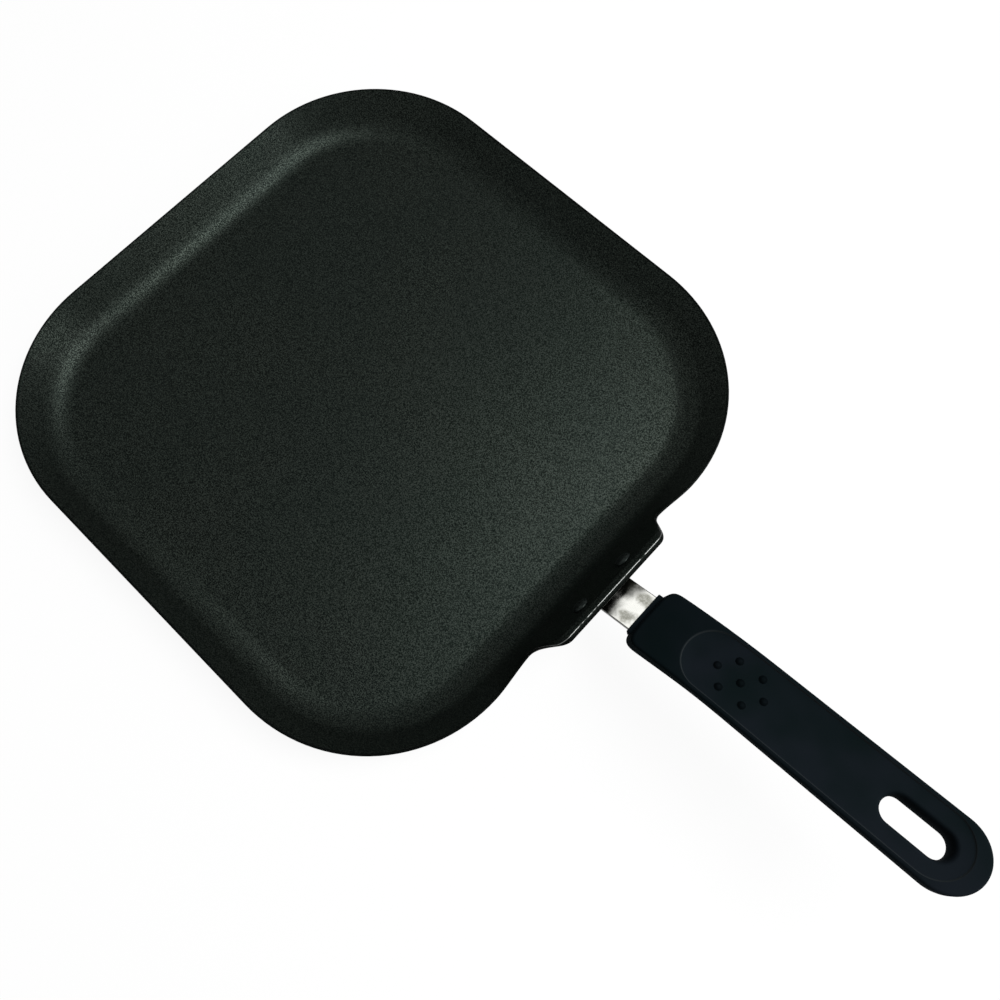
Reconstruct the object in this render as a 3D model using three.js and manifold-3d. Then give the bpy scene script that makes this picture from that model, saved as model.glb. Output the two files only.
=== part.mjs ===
// A square griddle pan: a pressed steel tray with a raised ear, a riveted steel bracket and a moulded grip.
// Millimetres, +Z up, +X along the handle. The origin is the middle of the pan's flat underside.
import * as THREE from 'three';
import { mergeVertices } from 'three/addons/utils/BufferGeometryUtils.js';
import Module from 'manifold-3d';

const wasm = await Module();
wasm.setup();

// Pan: one pressed sheet
const PAN_SIDE = 280;
const PAN_DEPTH = 16.8;
const RIM_CORNER_RADIUS = 75;
const SHEET = 1.2;
const FLOOR_BEND_RADIUS = 17;
const WALL_ANGLE = 52;

// Ear: the stretch of wall at +X that is drawn up steeper to carry the handle
const EAR_ANGLE = 71.5;
const EAR_HEIGHT = 18.2;
const EAR_TOP_WIDTH = 61;
const EAR_ROOT_WIDTH = 80;
const EAR_ROOT_LIFT = 4;
const EAR_LIP_RADIUS = 3;
const EAR_LIP_TURN = 112;
const EAR_CORNER_SOFTNESS = 0.3;

// Rivets through the ear and the bracket
const RIVET_SPACING = 27;
const RIVET_LIFT = 12.4;
const RIVET_SHANK_RADIUS = 2.2;
const RIVET_HEAD_RADIUS = 3.9;
const RIVET_HEAD_HEIGHT = 1.7;
const RIVET_TAIL_RADIUS = 3.2;
const RIVET_TAIL_HEIGHT = 1;

// Bracket: a stamped steel T whose stem bends out into the grip
const BRACKET_THICKNESS = 2;
const BRACKET_PLATE_WIDTH = 41;
const BRACKET_PLATE_HEIGHT = 11;
const BRACKET_PLATE_CORNER = 4;
const BRACKET_BEND_RADIUS = 2;
const BRACKET_BEND_DROP = 1;
const BRACKET_BEND_RELIEF = 0.6;
const TANG_WIDTH = 17.8;
const TANG_SLOPE = 22;
const TANG_SHOWN = 18.8;
const TANG_HELD = 42;

// Grip: an arched moulded handle with a recessed top panel and a hanging slot
const GRIP_LENGTH = 141.7;
const GRIP_WIDTH = 28.4;
const GRIP_TOP = 5.45;
const GRIP_FRONT_BELOW = 8.6;
const GRIP_REAR_BELOW = 4.9;
const GRIP_TAPER_LENGTH = 41;
const GRIP_START_SLOPE = 28;
const GRIP_END_SLOPE = 10.2;
const GRIP_ARCH_LENGTH = 50;
const GRIP_FRONT_DEPTH = 11;
const GRIP_FRONT_SQUARENESS = 5;
const GRIP_FRONT_RAKE = 0.6;
const GRIP_RAKE_REACH = 34;
const GRIP_TOP_EDGE = 1.2;
const GRIP_BOTTOM_EDGE = 6;
const COLLAR_WALL = 1.5;
const COLLAR_PROUD = 0.8;
const PANEL_LIP = 0.4;
const PANEL_BEVEL = 0.5;
const PANEL_DEPTH = 0.6;
const PANEL_START = 21;
const PANEL_TO_TIP = 6.3;
const SLOT_LENGTH = 25.4;
const SLOT_WIDTH = 10.1;
const SLOT_TO_TIP = 12.3;
const SLOT_TOP_FLARE = 2;
const SLOT_SOLE_FLARE = 0.8;
const DOT_RADIUS = 1.6;
const DOT_HEIGHT = 0.7;
const DOT_PITCH = 10;
const DOT_ROW_STEP = 6.5;
const DOTS_FROM_FRONT = 44.5;

// Fixing inside the grip: screw, lock washer and threaded insert
const SCREW_FROM_FRONT = 14;
const SCREW_RADIUS = 2;
const SCREW_HEAD_RADIUS = 3.8;
const SCREW_HEAD_HEIGHT = 2.2;
const SCREW_HEAD_CROWN_RADIUS = 2.9;
const SCREW_HEAD_RIM = 1.3;
const SCREW_TIP_CHAMFER = 0.65;
const SCREW_RECESS_WIDTH = 1.2;
const SCREW_RECESS_LENGTH = 4.4;
const SCREW_RECESS_DEPTH = 1.4;
const WASHER_RADIUS = 3.5;
const WASHER_THICKNESS = 1;
const WASHER_SPLIT = 0.8;
const INSERT_RADIUS = 3;
const INSERT_HEIGHT = 3.2;
const INSERT_GROOVE_DEPTH = 0.3;
const INSERT_GROOVE_WIDTH = 1.4;
const INSERT_GROOVE_FLAT = 0.7;

// Clearance between neighbouring pieces
const GAP = 0.3;

const CORNER_STEPS = 12;
const EAR_STEPS = 44;
const BEND_STEPS = 6;
const LIP_STEPS = 6;
const ROUND_STEPS = 24;
const DOT_STEPS = 10;
const LOOP_FRONT_STEPS = 6;
const LOOP_SIDE_STEPS = 9;
const LOOP_REAR_STEPS = 5;
const GRIP_EDGE_STEPS = 4;
const GRIP_ACROSS_STEPS = 6;
const SLOT_STEPS = 6;

const radians = THREE.MathUtils.degToRad;
const UP = new THREE.Vector3(0, 0, 1);

// Merges shared vertices and drops the flattened triangles at poles, so the mesh is one closed body.
function solidOf(geometry) {
  const bare = geometry.clone();
  bare.deleteAttribute('normal');
  bare.deleteAttribute('uv');
  const merged = mergeVertices(bare, 1e-4);
  const index = Array.from(merged.index.array);
  const triangles = [];
  for (let i = 0; i < index.length; i += 3) {
    const [a, b, c] = index.slice(i, i + 3);
    if (a !== b && b !== c && c !== a) triangles.push(a, b, c);
  }
  return new wasm.Manifold(new wasm.Mesh({
    numProp: 3,
    vertProperties: new Float32Array(merged.attributes.position.array),
    triVerts: new Uint32Array(triangles),
  }));
}

function geometryOf(solid) {
  const mesh = solid.getMesh();
  const geometry = new THREE.BufferGeometry();
  geometry.setAttribute('position', new THREE.BufferAttribute(mesh.vertProperties, 3));
  geometry.setIndex(new THREE.BufferAttribute(mesh.triVerts, 1));
  return geometry;
}

// Skins a list of closed rings, all with the same number of points. A ring of one point is a pole,
// and looped rings join the last ring to the first.
function ringSkin(rings, looped = false) {
  const positions = rings.flat().flatMap((p) => p.toArray());
  const starts = [];
  let count = 0;
  for (const ring of rings) {
    starts.push(count);
    count += ring.length;
  }
  const index = [];
  const bands = looped ? rings.length : rings.length - 1;
  for (let i = 0; i < bands; i += 1) {
    const j = (i + 1) % rings.length;
    const around = Math.max(rings[i].length, rings[j].length);
    for (let k = 0; k < around; k += 1) {
      const a = starts[i] + (k % rings[i].length);
      const b = starts[i] + ((k + 1) % rings[i].length);
      const c = starts[j] + ((k + 1) % rings[j].length);
      const d = starts[j] + (k % rings[j].length);
      if (rings[i].length > 1) index.push(a, b, c);
      if (rings[j].length > 1) index.push(a, c, d);
    }
  }
  const geometry = new THREE.BufferGeometry();
  geometry.setAttribute('position', new THREE.Float32BufferAttribute(positions, 3));
  geometry.setIndex(index);
  return geometry;
}

// Turns a profile of [radius, height] pairs about +Z.
function turned(profile, steps = ROUND_STEPS) {
  const points = profile.map(([radius, height]) => new THREE.Vector2(radius, height));
  return new THREE.LatheGeometry(points, steps).rotateX(Math.PI / 2);
}

function box(x, y, z) {
  return new THREE.BoxGeometry(x, y, z);
}

function rampUp(t) {
  return THREE.MathUtils.smoothstep(t, 0, 1);
}

// A straight ramp from 0 to 1 whose two corners are rounded over the given softness.
function softRamp(t, softness) {
  const knee = (v) => {
    if (v <= -softness) return 0;
    if (v >= softness) return v;
    return (v + softness) ** 2 / (4 * softness);
  };
  return knee(t) - knee(t - 1);
}

// The wall's section: run outwards and rise from the floor's edge, with the slope at each point.
// Above its rise it rolls outwards through the given turn, which is none on the plain rim.
function wallSection(slope, rise, turn) {
  const points = [];
  const angle = radians(slope);
  for (let i = 0; i <= BEND_STEPS; i += 1) {
    const a = (angle * i) / BEND_STEPS;
    points.push({
      run: FLOOR_BEND_RADIUS * Math.sin(a),
      rise: FLOOR_BEND_RADIUS * (1 - Math.cos(a)),
      slope: a,
    });
  }
  const foot = points[BEND_STEPS];
  const topRun = foot.run + (rise - foot.rise) / Math.tan(angle);
  for (let i = 0; i <= LIP_STEPS; i += 1) {
    const a = angle - (radians(turn) * i) / LIP_STEPS;
    points.push({
      run: topRun + EAR_LIP_RADIUS * (Math.sin(angle) - Math.sin(a)),
      rise: rise + EAR_LIP_RADIUS * (Math.cos(a) - Math.cos(angle)),
      slope: a,
    });
  }
  return points;
}

const plainSection = wallSection(WALL_ANGLE, PAN_DEPTH, 0);
const plainRim = plainSection[plainSection.length - 1];
const floorHalf = PAN_SIDE / 2 - plainRim.run - SHEET * Math.sin(plainRim.slope);
const floorCorner = RIM_CORNER_RADIUS - (PAN_SIDE / 2 - floorHalf);
const sideHalf = floorHalf - floorCorner;

// How far the wall has turned into the ear: none at the ends of the straight side, all at the root.
function earWeight(y) {
  return rampUp((sideHalf - Math.abs(y)) / (sideHalf - EAR_ROOT_WIDTH / 2));
}

// The ear's outline: a trapezoid with softened corners, from 0 at its root to 1 along its top.
function earRamp(y) {
  const flank = (EAR_ROOT_WIDTH - EAR_TOP_WIDTH) / 2;
  return softRamp((EAR_ROOT_WIDTH / 2 - Math.abs(y)) / flank, EAR_CORNER_SOFTNESS);
}

// The rising edge of the ear: a low swell from the blend, then the outline.
function earLift(y) {
  return EAR_ROOT_LIFT * earWeight(y) + (EAR_HEIGHT - EAR_ROOT_LIFT) * earRamp(y);
}

// The floor's edge, counter-clockwise from the lower end of the +X side, with outward directions.
function floorEdge() {
  const stations = [];
  for (let side = 0; side < 4; side += 1) {
    const turn = (side * Math.PI) / 2;
    if (side === 0) {
      for (let i = 1; i < EAR_STEPS; i += 1) {
        const y = sideHalf * ((2 * i) / EAR_STEPS - 1);
        stations.push({ x: floorHalf, y, out: 0, ear: true });
      }
    }
    for (let i = 0; i <= CORNER_STEPS; i += 1) {
      const a = turn + (Math.PI / 2) * (i / CORNER_STEPS);
      const centre = new THREE.Vector2(sideHalf, sideHalf).rotateAround(new THREE.Vector2(), turn);
      stations.push({
        x: centre.x + floorCorner * Math.cos(a),
        y: centre.y + floorCorner * Math.sin(a),
        out: a,
        ear: false,
      });
    }
  }
  return stations;
}

function panTray() {
  const inside = [];
  const outside = [];
  for (const { x, y, out, ear } of floorEdge()) {
    const weight = ear ? earWeight(y) : 0;
    const slope = THREE.MathUtils.lerp(WALL_ANGLE, EAR_ANGLE, weight);
    const lift = ear ? earLift(y) : 0;
    const section = wallSection(slope, PAN_DEPTH + lift, ear ? EAR_LIP_TURN * earRamp(y) : 0);
    const place = (p, depth) => {
      const run = p.run + depth * Math.sin(p.slope);
      const height = SHEET + p.rise - depth * Math.cos(p.slope);
      return new THREE.Vector3(x + run * Math.cos(out), y + run * Math.sin(out), height);
    };
    inside.push(section.map((p) => place(p, 0)));
    outside.push(section.map((p) => place(p, SHEET)));
  }
  const ring = (columns, level) => columns.map((column) => column[level]);
  const levels = plainSection.map((p, level) => level);
  return ringSkin([
    [new THREE.Vector3(0, 0, 0)],
    ...levels.map((level) => ring(outside, level)),
    ...levels.toReversed().map((level) => ring(inside, level)),
    [new THREE.Vector3(0, 0, SHEET)],
  ]);
}

// The ear's flat face: a frame at rivet height, with its axes up the slope and out of the back.
const earSlope = radians(EAR_ANGLE);
const earUp = new THREE.Vector3(Math.cos(earSlope), 0, Math.sin(earSlope));
const earOut = new THREE.Vector3(Math.sin(earSlope), 0, -Math.cos(earSlope));
const rivetRise = PAN_DEPTH + RIVET_LIFT;
const earFoot = wallSection(EAR_ANGLE, rivetRise, 0).at(-1);
const rivetPoint = new THREE.Vector3(floorHalf + earFoot.run, 0, SHEET + earFoot.rise);
const plateNear = SHEET + GAP;
const plateFar = plateNear + BRACKET_THICKNESS;
const plateTop = RIVET_TAIL_RADIUS;
const plateLow = plateTop - BRACKET_PLATE_HEIGHT;
const bendStart = -BRACKET_BEND_DROP;
const rivetSides = { left: 1, right: -1 };

function onEar(up, out, y = 0) {
  return rivetPoint.clone().addScaledVector(earUp, up).addScaledVector(earOut, out).setY(y);
}

function rivetPlace(side, out = 0) {
  return onEar(0, out, (side * RIVET_SPACING) / 2);
}

function earTurn() {
  return new THREE.Quaternion().setFromUnitVectors(UP, earOut);
}

function rivetHole(side) {
  const reach = 4 * (plateFar + RIVET_HEAD_HEIGHT);
  const hole = new THREE.CylinderGeometry(
    RIVET_SHANK_RADIUS + GAP, RIVET_SHANK_RADIUS + GAP, reach, ROUND_STEPS,
  ).rotateX(Math.PI / 2);
  const place = rivetPlace(side);
  return solidOf(hole.applyQuaternion(earTurn()).translate(place.x, place.y, place.z));
}

function panBody() {
  let solid = solidOf(panTray());
  for (const side of Object.values(rivetSides)) solid = solid.subtract(rivetHole(side));
  return geometryOf(solid);
}

// The tang's frame: its middle line leaves the bend at the ear and runs up at its own slope.
const tangSlope = radians(TANG_SLOPE);
const tangAlong = new THREE.Vector3(Math.cos(tangSlope), 0, Math.sin(tangSlope));
const tangUp = new THREE.Vector3(-Math.sin(tangSlope), 0, Math.cos(tangSlope));
const bendCentre = onEar(bendStart, plateFar + BRACKET_BEND_RADIUS);
const tangRoot = bendCentre.clone().addScaledVector(tangUp, BRACKET_BEND_RADIUS + BRACKET_THICKNESS / 2);
const gripFront = tangRoot.clone().addScaledVector(tangAlong, TANG_SHOWN);

function onTang(along, up = 0) {
  return gripFront.clone().addScaledVector(tangAlong, along).addScaledVector(tangUp, up);
}

function tangTurn() {
  return new THREE.Quaternion().setFromAxisAngle(new THREE.Vector3(0, 1, 0), -tangSlope);
}

// Places a geometry made about the tang's own axes: x along it and z square to it.
function setOnTang(geometry, along, up = 0) {
  const place = onTang(along, up);
  return geometry.applyQuaternion(tangTurn()).translate(place.x, place.y, place.z);
}

// The bracket's stem seen from the side: up the ear, round the bend and out along the tang.
function bracketStem() {
  const corner = (v) => new THREE.Vector2(v.x, v.z);
  const ends = [
    onEar(plateLow, plateFar), onEar(plateLow, plateNear), onEar(bendStart, plateNear),
  ].map(corner);
  const half = BRACKET_THICKNESS / 2;
  const tip = [onTang(TANG_HELD, half), onTang(TANG_HELD, -half)].map(corner);
  const shape = new THREE.Shape();
  shape.moveTo(ends[0].x, ends[0].y);
  shape.lineTo(ends[1].x, ends[1].y);
  shape.lineTo(ends[2].x, ends[2].y);
  const from = earSlope + Math.PI / 2;
  const to = tangSlope + Math.PI / 2;
  shape.absarc(bendCentre.x, bendCentre.z, BRACKET_BEND_RADIUS + BRACKET_THICKNESS, from, to, true);
  shape.lineTo(tip[0].x, tip[0].y);
  shape.lineTo(tip[1].x, tip[1].y);
  shape.absarc(bendCentre.x, bendCentre.z, BRACKET_BEND_RADIUS, to, from, false);
  shape.closePath();
  const stem = new THREE.ExtrudeGeometry(shape, {
    depth: TANG_WIDTH, bevelEnabled: false, curveSegments: BEND_STEPS,
  });
  return stem.translate(0, 0, -TANG_WIDTH / 2).rotateX(Math.PI / 2);
}

// The bracket's plate lies flat on the back of the ear. Its two wings hold the rivets beside the
// notch where the stem bends out.
function bracketPlate() {
  const half = BRACKET_PLATE_WIDTH / 2;
  const notch = TANG_WIDTH / 2 + BRACKET_BEND_RELIEF;
  const r = BRACKET_PLATE_CORNER;
  const shape = new THREE.Shape();
  shape.moveTo(half - r, plateLow);
  shape.absarc(half - r, plateLow + r, r, -Math.PI / 2, 0, false);
  shape.absarc(half - r, plateTop - r, r, 0, Math.PI / 2, false);
  shape.lineTo(notch, plateTop);
  shape.lineTo(notch, bendStart);
  shape.lineTo(-notch, bendStart);
  shape.lineTo(-notch, plateTop);
  shape.absarc(r - half, plateTop - r, r, Math.PI / 2, Math.PI, false);
  shape.absarc(r - half, plateLow + r, r, Math.PI, 1.5 * Math.PI, false);
  shape.closePath();
  const plate = new THREE.ExtrudeGeometry(shape, {
    depth: BRACKET_THICKNESS, bevelEnabled: false, curveSegments: BEND_STEPS,
  });
  const across = new THREE.Vector3(0, 1, 0);
  const turn = new THREE.Matrix4().makeBasis(across, earUp, earOut);
  return plate.applyMatrix4(turn.setPosition(onEar(0, plateNear)));
}

function handleBracket() {
  let solid = solidOf(bracketPlate()).add(solidOf(bracketStem()));
  for (const side of Object.values(rivetSides)) solid = solid.subtract(rivetHole(side));
  const hole = new THREE.CylinderGeometry(
    SCREW_RADIUS + GAP, SCREW_RADIUS + GAP, 4 * BRACKET_THICKNESS, ROUND_STEPS,
  ).rotateX(Math.PI / 2);
  return geometryOf(solid.subtract(solidOf(setOnTang(hole, SCREW_FROM_FRONT))));
}

// A rivet about +Z, the way out of the ear's back: a domed head, a shank and an upset tail.
function rivet() {
  const headBase = -GAP;
  const tailBase = plateFar + GAP;
  const dome = [];
  for (let i = 0; i <= BEND_STEPS; i += 1) {
    const a = (Math.PI / 2) * (i / BEND_STEPS);
    dome.push([RIVET_HEAD_RADIUS * Math.sin(a), headBase - RIVET_HEAD_HEIGHT * Math.cos(a)]);
  }
  return geometryOf(solidOf(turned([
    ...dome,
    [RIVET_SHANK_RADIUS, headBase],
    [RIVET_SHANK_RADIUS, tailBase],
    [RIVET_TAIL_RADIUS, tailBase],
    [RIVET_TAIL_RADIUS, tailBase + RIVET_TAIL_HEIGHT / 2],
    [RIVET_SHANK_RADIUS, tailBase + RIVET_TAIL_HEIGHT],
    [0, tailBase + RIVET_TAIL_HEIGHT],
  ])));
}

// A closed loop in the grip's plan, from the middle of its front round by +Y. The front is a
// superellipse of the given depth, the sides are straight and the rear is a half circle.
function planLoop({ start, end, half, front, power }) {
  const loop = [];
  const frontPoint = (a) => new THREE.Vector2(
    start + front * (1 - Math.cos(a) ** (2 / power)),
    half * Math.sin(a) ** (2 / power),
  );
  for (let i = 0; i < LOOP_FRONT_STEPS; i += 1) {
    loop.push(frontPoint((Math.PI / 2) * (i / LOOP_FRONT_STEPS)));
  }
  for (let i = 0; i < LOOP_SIDE_STEPS; i += 1) {
    const along = THREE.MathUtils.lerp(start + front, end - half, i / LOOP_SIDE_STEPS);
    loop.push(new THREE.Vector2(along, half));
  }
  for (let i = 0; i <= LOOP_REAR_STEPS; i += 1) {
    const a = (Math.PI / 2) * (1 - i / LOOP_REAR_STEPS);
    loop.push(new THREE.Vector2(end - half + half * Math.cos(a), half * Math.sin(a)));
  }
  const mirrored = loop.slice(1, -1).reverse().map((p) => new THREE.Vector2(p.x, -p.y));
  return [...loop, ...mirrored];
}

// The grip's middle line: an arc from the start slope to the end slope, then straight.
function onGrip(along, across, up) {
  const start = radians(GRIP_START_SLOPE);
  const end = radians(GRIP_END_SLOPE);
  const radius = GRIP_ARCH_LENGTH / (start - end);
  const bent = Math.min(along, GRIP_ARCH_LENGTH);
  const slope = start - bent / radius;
  const straight = along - bent;
  const x = radius * (Math.sin(start) - Math.sin(slope)) + straight * Math.cos(slope);
  const z = radius * (Math.cos(slope) - Math.cos(start)) + straight * Math.sin(slope);
  return new THREE.Vector3(x - up * Math.sin(slope), across, z + up * Math.cos(slope)).add(gripFront);
}

// The front face leans so that its foot stands nearer the pan than its brow.
function raked(along, up) {
  const fade = 1 - THREE.MathUtils.clamp(along / GRIP_RAKE_REACH, 0, 1);
  return along + GRIP_FRONT_RAKE * up * fade ** 2;
}

function gripBelow(along) {
  const t = rampUp(along / GRIP_TAPER_LENGTH);
  return THREE.MathUtils.lerp(GRIP_FRONT_BELOW, GRIP_REAR_BELOW, t);
}

const gripHalf = GRIP_WIDTH / 2;
const panelInset = GRIP_TOP_EDGE + PANEL_LIP + PANEL_BEVEL;
const panelUp = GRIP_TOP - PANEL_DEPTH;

function outerLoop(inset) {
  return planLoop({
    start: inset,
    end: GRIP_LENGTH - inset,
    half: gripHalf - inset,
    front: GRIP_FRONT_DEPTH - inset,
    power: GRIP_FRONT_SQUARENESS,
  });
}

function panelLoop(inset) {
  const half = gripHalf - inset;
  const start = PANEL_START + inset - panelInset;
  const end = GRIP_LENGTH - PANEL_TO_TIP - inset + panelInset;
  return planLoop({ start, end, half, front: half, power: 2 });
}

// The hanging slot is tightest half way through and flares to both faces.
function slotLoop(flare) {
  const end = GRIP_LENGTH - SLOT_TO_TIP + flare;
  const half = SLOT_WIDTH / 2 + flare;
  return planLoop({ start: end - SLOT_LENGTH - 2 * flare, end, half, front: half, power: 2 });
}

// The grip's skin runs outwards from the slot over the top, down the sides, back underneath and up
// the slot's wall.
function gripSkin() {
  const slot = slotLoop(SLOT_TOP_FLARE);
  const slotSole = slotLoop(SLOT_SOLE_FLARE);
  const panel = panelLoop(panelInset);
  const ring = (loop, up) => loop.map(({ x, y }) => onGrip(raked(x, up(x)), y, up(x)));
  const between = (from, to, t) => from.map((p, i) => p.clone().lerp(to[i], t));
  const topRings = [];
  for (let i = 0; i <= GRIP_ACROSS_STEPS; i += 1) {
    topRings.push(ring(between(slot, panel, i / GRIP_ACROSS_STEPS), () => panelUp));
  }
  topRings.push(ring(panelLoop(panelInset - PANEL_BEVEL), () => GRIP_TOP));
  topRings.push(ring(outerLoop(GRIP_TOP_EDGE), () => GRIP_TOP));
  const edge = (1 - Math.SQRT1_2) * GRIP_TOP_EDGE;
  topRings.push(ring(outerLoop(edge), () => GRIP_TOP - edge));
  topRings.push(ring(outerLoop(0), () => GRIP_TOP - GRIP_TOP_EDGE));
  const lowRings = [];
  for (let i = 0; i <= GRIP_EDGE_STEPS; i += 1) {
    const a = (Math.PI / 2) * (i / GRIP_EDGE_STEPS);
    const inset = GRIP_BOTTOM_EDGE * (1 - Math.cos(a));
    const lift = GRIP_BOTTOM_EDGE * (1 - Math.sin(a));
    lowRings.push(ring(outerLoop(inset), (along) => lift - gripBelow(along)));
  }
  const sole = outerLoop(GRIP_BOTTOM_EDGE);
  for (let i = 1; i <= GRIP_ACROSS_STEPS; i += 1) {
    lowRings.push(ring(between(sole, slotSole, i / GRIP_ACROSS_STEPS), (along) => -gripBelow(along)));
  }
  const slotMiddle = (panelUp - GRIP_REAR_BELOW) / 2;
  const slotReach = (panelUp + GRIP_REAR_BELOW) / 2;
  const wallRings = [];
  for (let i = 1; i < SLOT_STEPS; i += 1) {
    const a = Math.PI * (i / SLOT_STEPS - 0.5);
    const flare = a > 0 ? SLOT_TOP_FLARE : SLOT_SOLE_FLARE;
    wallRings.push(ring(slotLoop(flare * (1 - Math.cos(a))), () => slotMiddle + slotReach * Math.sin(a)));
  }
  return ringSkin([...topRings, ...lowRings, ...wallRings], true);
}

// One raised dot stands on the panel, sunk a little so that it joins it.
function dot(along, across) {
  const sunk = DOT_HEIGHT / 2;
  const profile = [[0, -sunk], [DOT_RADIUS, -sunk], [DOT_RADIUS, 0]];
  profile.push([DOT_RADIUS * Math.SQRT1_2, DOT_HEIGHT * Math.SQRT1_2], [0, DOT_HEIGHT]);
  const foot = onGrip(along, across, panelUp);
  const stand = onGrip(along, across, panelUp + 1).sub(foot);
  const turn = new THREE.Quaternion().setFromUnitVectors(UP, stand);
  return turned(profile, DOT_STEPS).applyQuaternion(turn).translate(foot.x, foot.y, foot.z);
}

function dotPlaces() {
  const places = [-1, 0, 1].map((i) => [i * DOT_PITCH, 0]);
  for (const row of [-1, 1]) {
    for (const half of [-0.5, 0.5]) places.push([half * DOT_PITCH, row * DOT_ROW_STEP]);
  }
  return places.map(([along, across]) => [DOTS_FROM_FRONT + along, across]);
}

// Heights along the screw, from the middle of the tang.
const seatUp = -BRACKET_THICKNESS / 2 - GAP;
const insertUp = BRACKET_THICKNESS / 2 + 2 * GAP;
const headUp = seatUp - WASHER_THICKNESS - GAP;

function gripCuts() {
  const pocketLength = TANG_HELD + GAP + 2 * TANG_SHOWN;
  const pocket = box(pocketLength, TANG_WIDTH + 2 * GAP, BRACKET_THICKNESS + 2 * GAP);
  const wellRadius = SCREW_HEAD_RADIUS + 2 * GAP;
  const wellDepth = 2 * GRIP_FRONT_BELOW;
  const well = new THREE.CylinderGeometry(wellRadius, wellRadius, wellDepth, ROUND_STEPS);
  const nestRadius = INSERT_RADIUS + GAP;
  const nestHeight = INSERT_HEIGHT + insertUp + GAP;
  const nest = new THREE.CylinderGeometry(nestRadius, nestRadius, nestHeight, ROUND_STEPS);
  return [
    setOnTang(pocket, TANG_HELD + GAP - pocketLength / 2),
    setOnTang(well.rotateX(Math.PI / 2), SCREW_FROM_FRONT, -wellDepth / 2),
    setOnTang(nest.rotateX(Math.PI / 2), SCREW_FROM_FRONT, nestHeight / 2),
  ];
}

// A low collar stands proud of the front face where the tang goes in.
function gripCollar() {
  const sunk = GRIP_FRONT_DEPTH / 2;
  const collar = box(
    COLLAR_PROUD + sunk, TANG_WIDTH + 2 * COLLAR_WALL, BRACKET_THICKNESS + 2 * COLLAR_WALL,
  );
  return setOnTang(collar, (sunk - COLLAR_PROUD) / 2);
}

function handleGrip() {
  let solid = solidOf(gripSkin()).add(solidOf(gripCollar()));
  for (const place of dotPlaces()) solid = solid.add(solidOf(dot(...place)));
  for (const cut of gripCuts()) solid = solid.subtract(solidOf(cut));
  return geometryOf(solid);
}

// A pan-head screw about +Z with a cross recess in the underside of its head.
function handleScrew() {
  const tip = insertUp + INSERT_HEIGHT - GAP;
  const screw = solidOf(turned([
    [0, headUp - SCREW_HEAD_HEIGHT],
    [SCREW_HEAD_CROWN_RADIUS, headUp - SCREW_HEAD_HEIGHT],
    [SCREW_HEAD_RADIUS, headUp - SCREW_HEAD_RIM],
    [SCREW_HEAD_RADIUS, headUp],
    [SCREW_RADIUS, headUp],
    [SCREW_RADIUS, tip - SCREW_TIP_CHAMFER],
    [SCREW_RADIUS - SCREW_TIP_CHAMFER, tip],
    [0, tip],
  ]));
  const depth = 2 * SCREW_RECESS_DEPTH;
  const arms = [
    box(SCREW_RECESS_LENGTH, SCREW_RECESS_WIDTH, depth),
    box(SCREW_RECESS_WIDTH, SCREW_RECESS_LENGTH, depth),
  ].map((arm) => solidOf(arm.translate(0, 0, headUp - SCREW_HEAD_HEIGHT)));
  return geometryOf(screw.subtract(arms[0]).subtract(arms[1]));
}

// A split spring washer between the screw's head and the tang.
function lockWasher() {
  const inner = SCREW_RADIUS + GAP;
  const low = seatUp - WASHER_THICKNESS;
  const ring = solidOf(turned([
    [inner, low], [WASHER_RADIUS, low], [WASHER_RADIUS, seatUp], [inner, seatUp], [inner, low],
  ]));
  const split = box(2 * WASHER_RADIUS, WASHER_SPLIT, 4 * WASHER_THICKNESS);
  return geometryOf(ring.subtract(solidOf(split.translate(WASHER_RADIUS, 0, seatUp))));
}

// A grooved brass sleeve moulded into the grip above the tang.
function threadedInsert() {
  const inner = SCREW_RADIUS + GAP;
  const waist = INSERT_RADIUS - INSERT_GROOVE_DEPTH;
  const top = insertUp + INSERT_HEIGHT;
  const middle = (insertUp + top) / 2;
  return geometryOf(solidOf(turned([
    [inner, insertUp],
    [INSERT_RADIUS, insertUp],
    [INSERT_RADIUS, middle - INSERT_GROOVE_WIDTH / 2],
    [waist, middle - INSERT_GROOVE_FLAT / 2],
    [waist, middle + INSERT_GROOVE_FLAT / 2],
    [INSERT_RADIUS, middle + INSERT_GROOVE_WIDTH / 2],
    [INSERT_RADIUS, top],
    [inner, top],
    [inner, insertUp],
  ])));
}

function piece(name, geometry, colour, roughness, metalness) {
  const material = new THREE.MeshStandardMaterial({ color: colour, roughness, metalness });
  const mesh = new THREE.Mesh(geometry, material);
  mesh.name = name;
  return mesh;
}

const griddle = new THREE.Group();
griddle.add(piece('pan_body', panBody(), 0x2b2d2e, 0.45, 0.35));
griddle.add(piece('handle_bracket', handleBracket(), 0xc4c6c8, 0.2, 1));
for (const [name, side] of Object.entries(rivetSides)) {
  const mesh = piece(`rivet_${name}`, rivet(), 0x222426, 0.4, 0.4);
  mesh.position.copy(rivetPlace(side));
  mesh.quaternion.copy(earTurn());
  griddle.add(mesh);
}
griddle.add(piece('handle_grip', handleGrip(), 0x17191d, 0.6, 0));

const fixing = new THREE.Group();
fixing.position.copy(onTang(SCREW_FROM_FRONT));
fixing.quaternion.copy(tangTurn());
fixing.add(piece('handle_screw', handleScrew(), 0xa9abad, 0.3, 1));
fixing.add(piece('lock_washer', lockWasher(), 0x8f9193, 0.35, 1));
fixing.add(piece('threaded_insert', threadedInsert(), 0xb08a3e, 0.35, 1));
griddle.add(fixing);

export default griddle;
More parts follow.
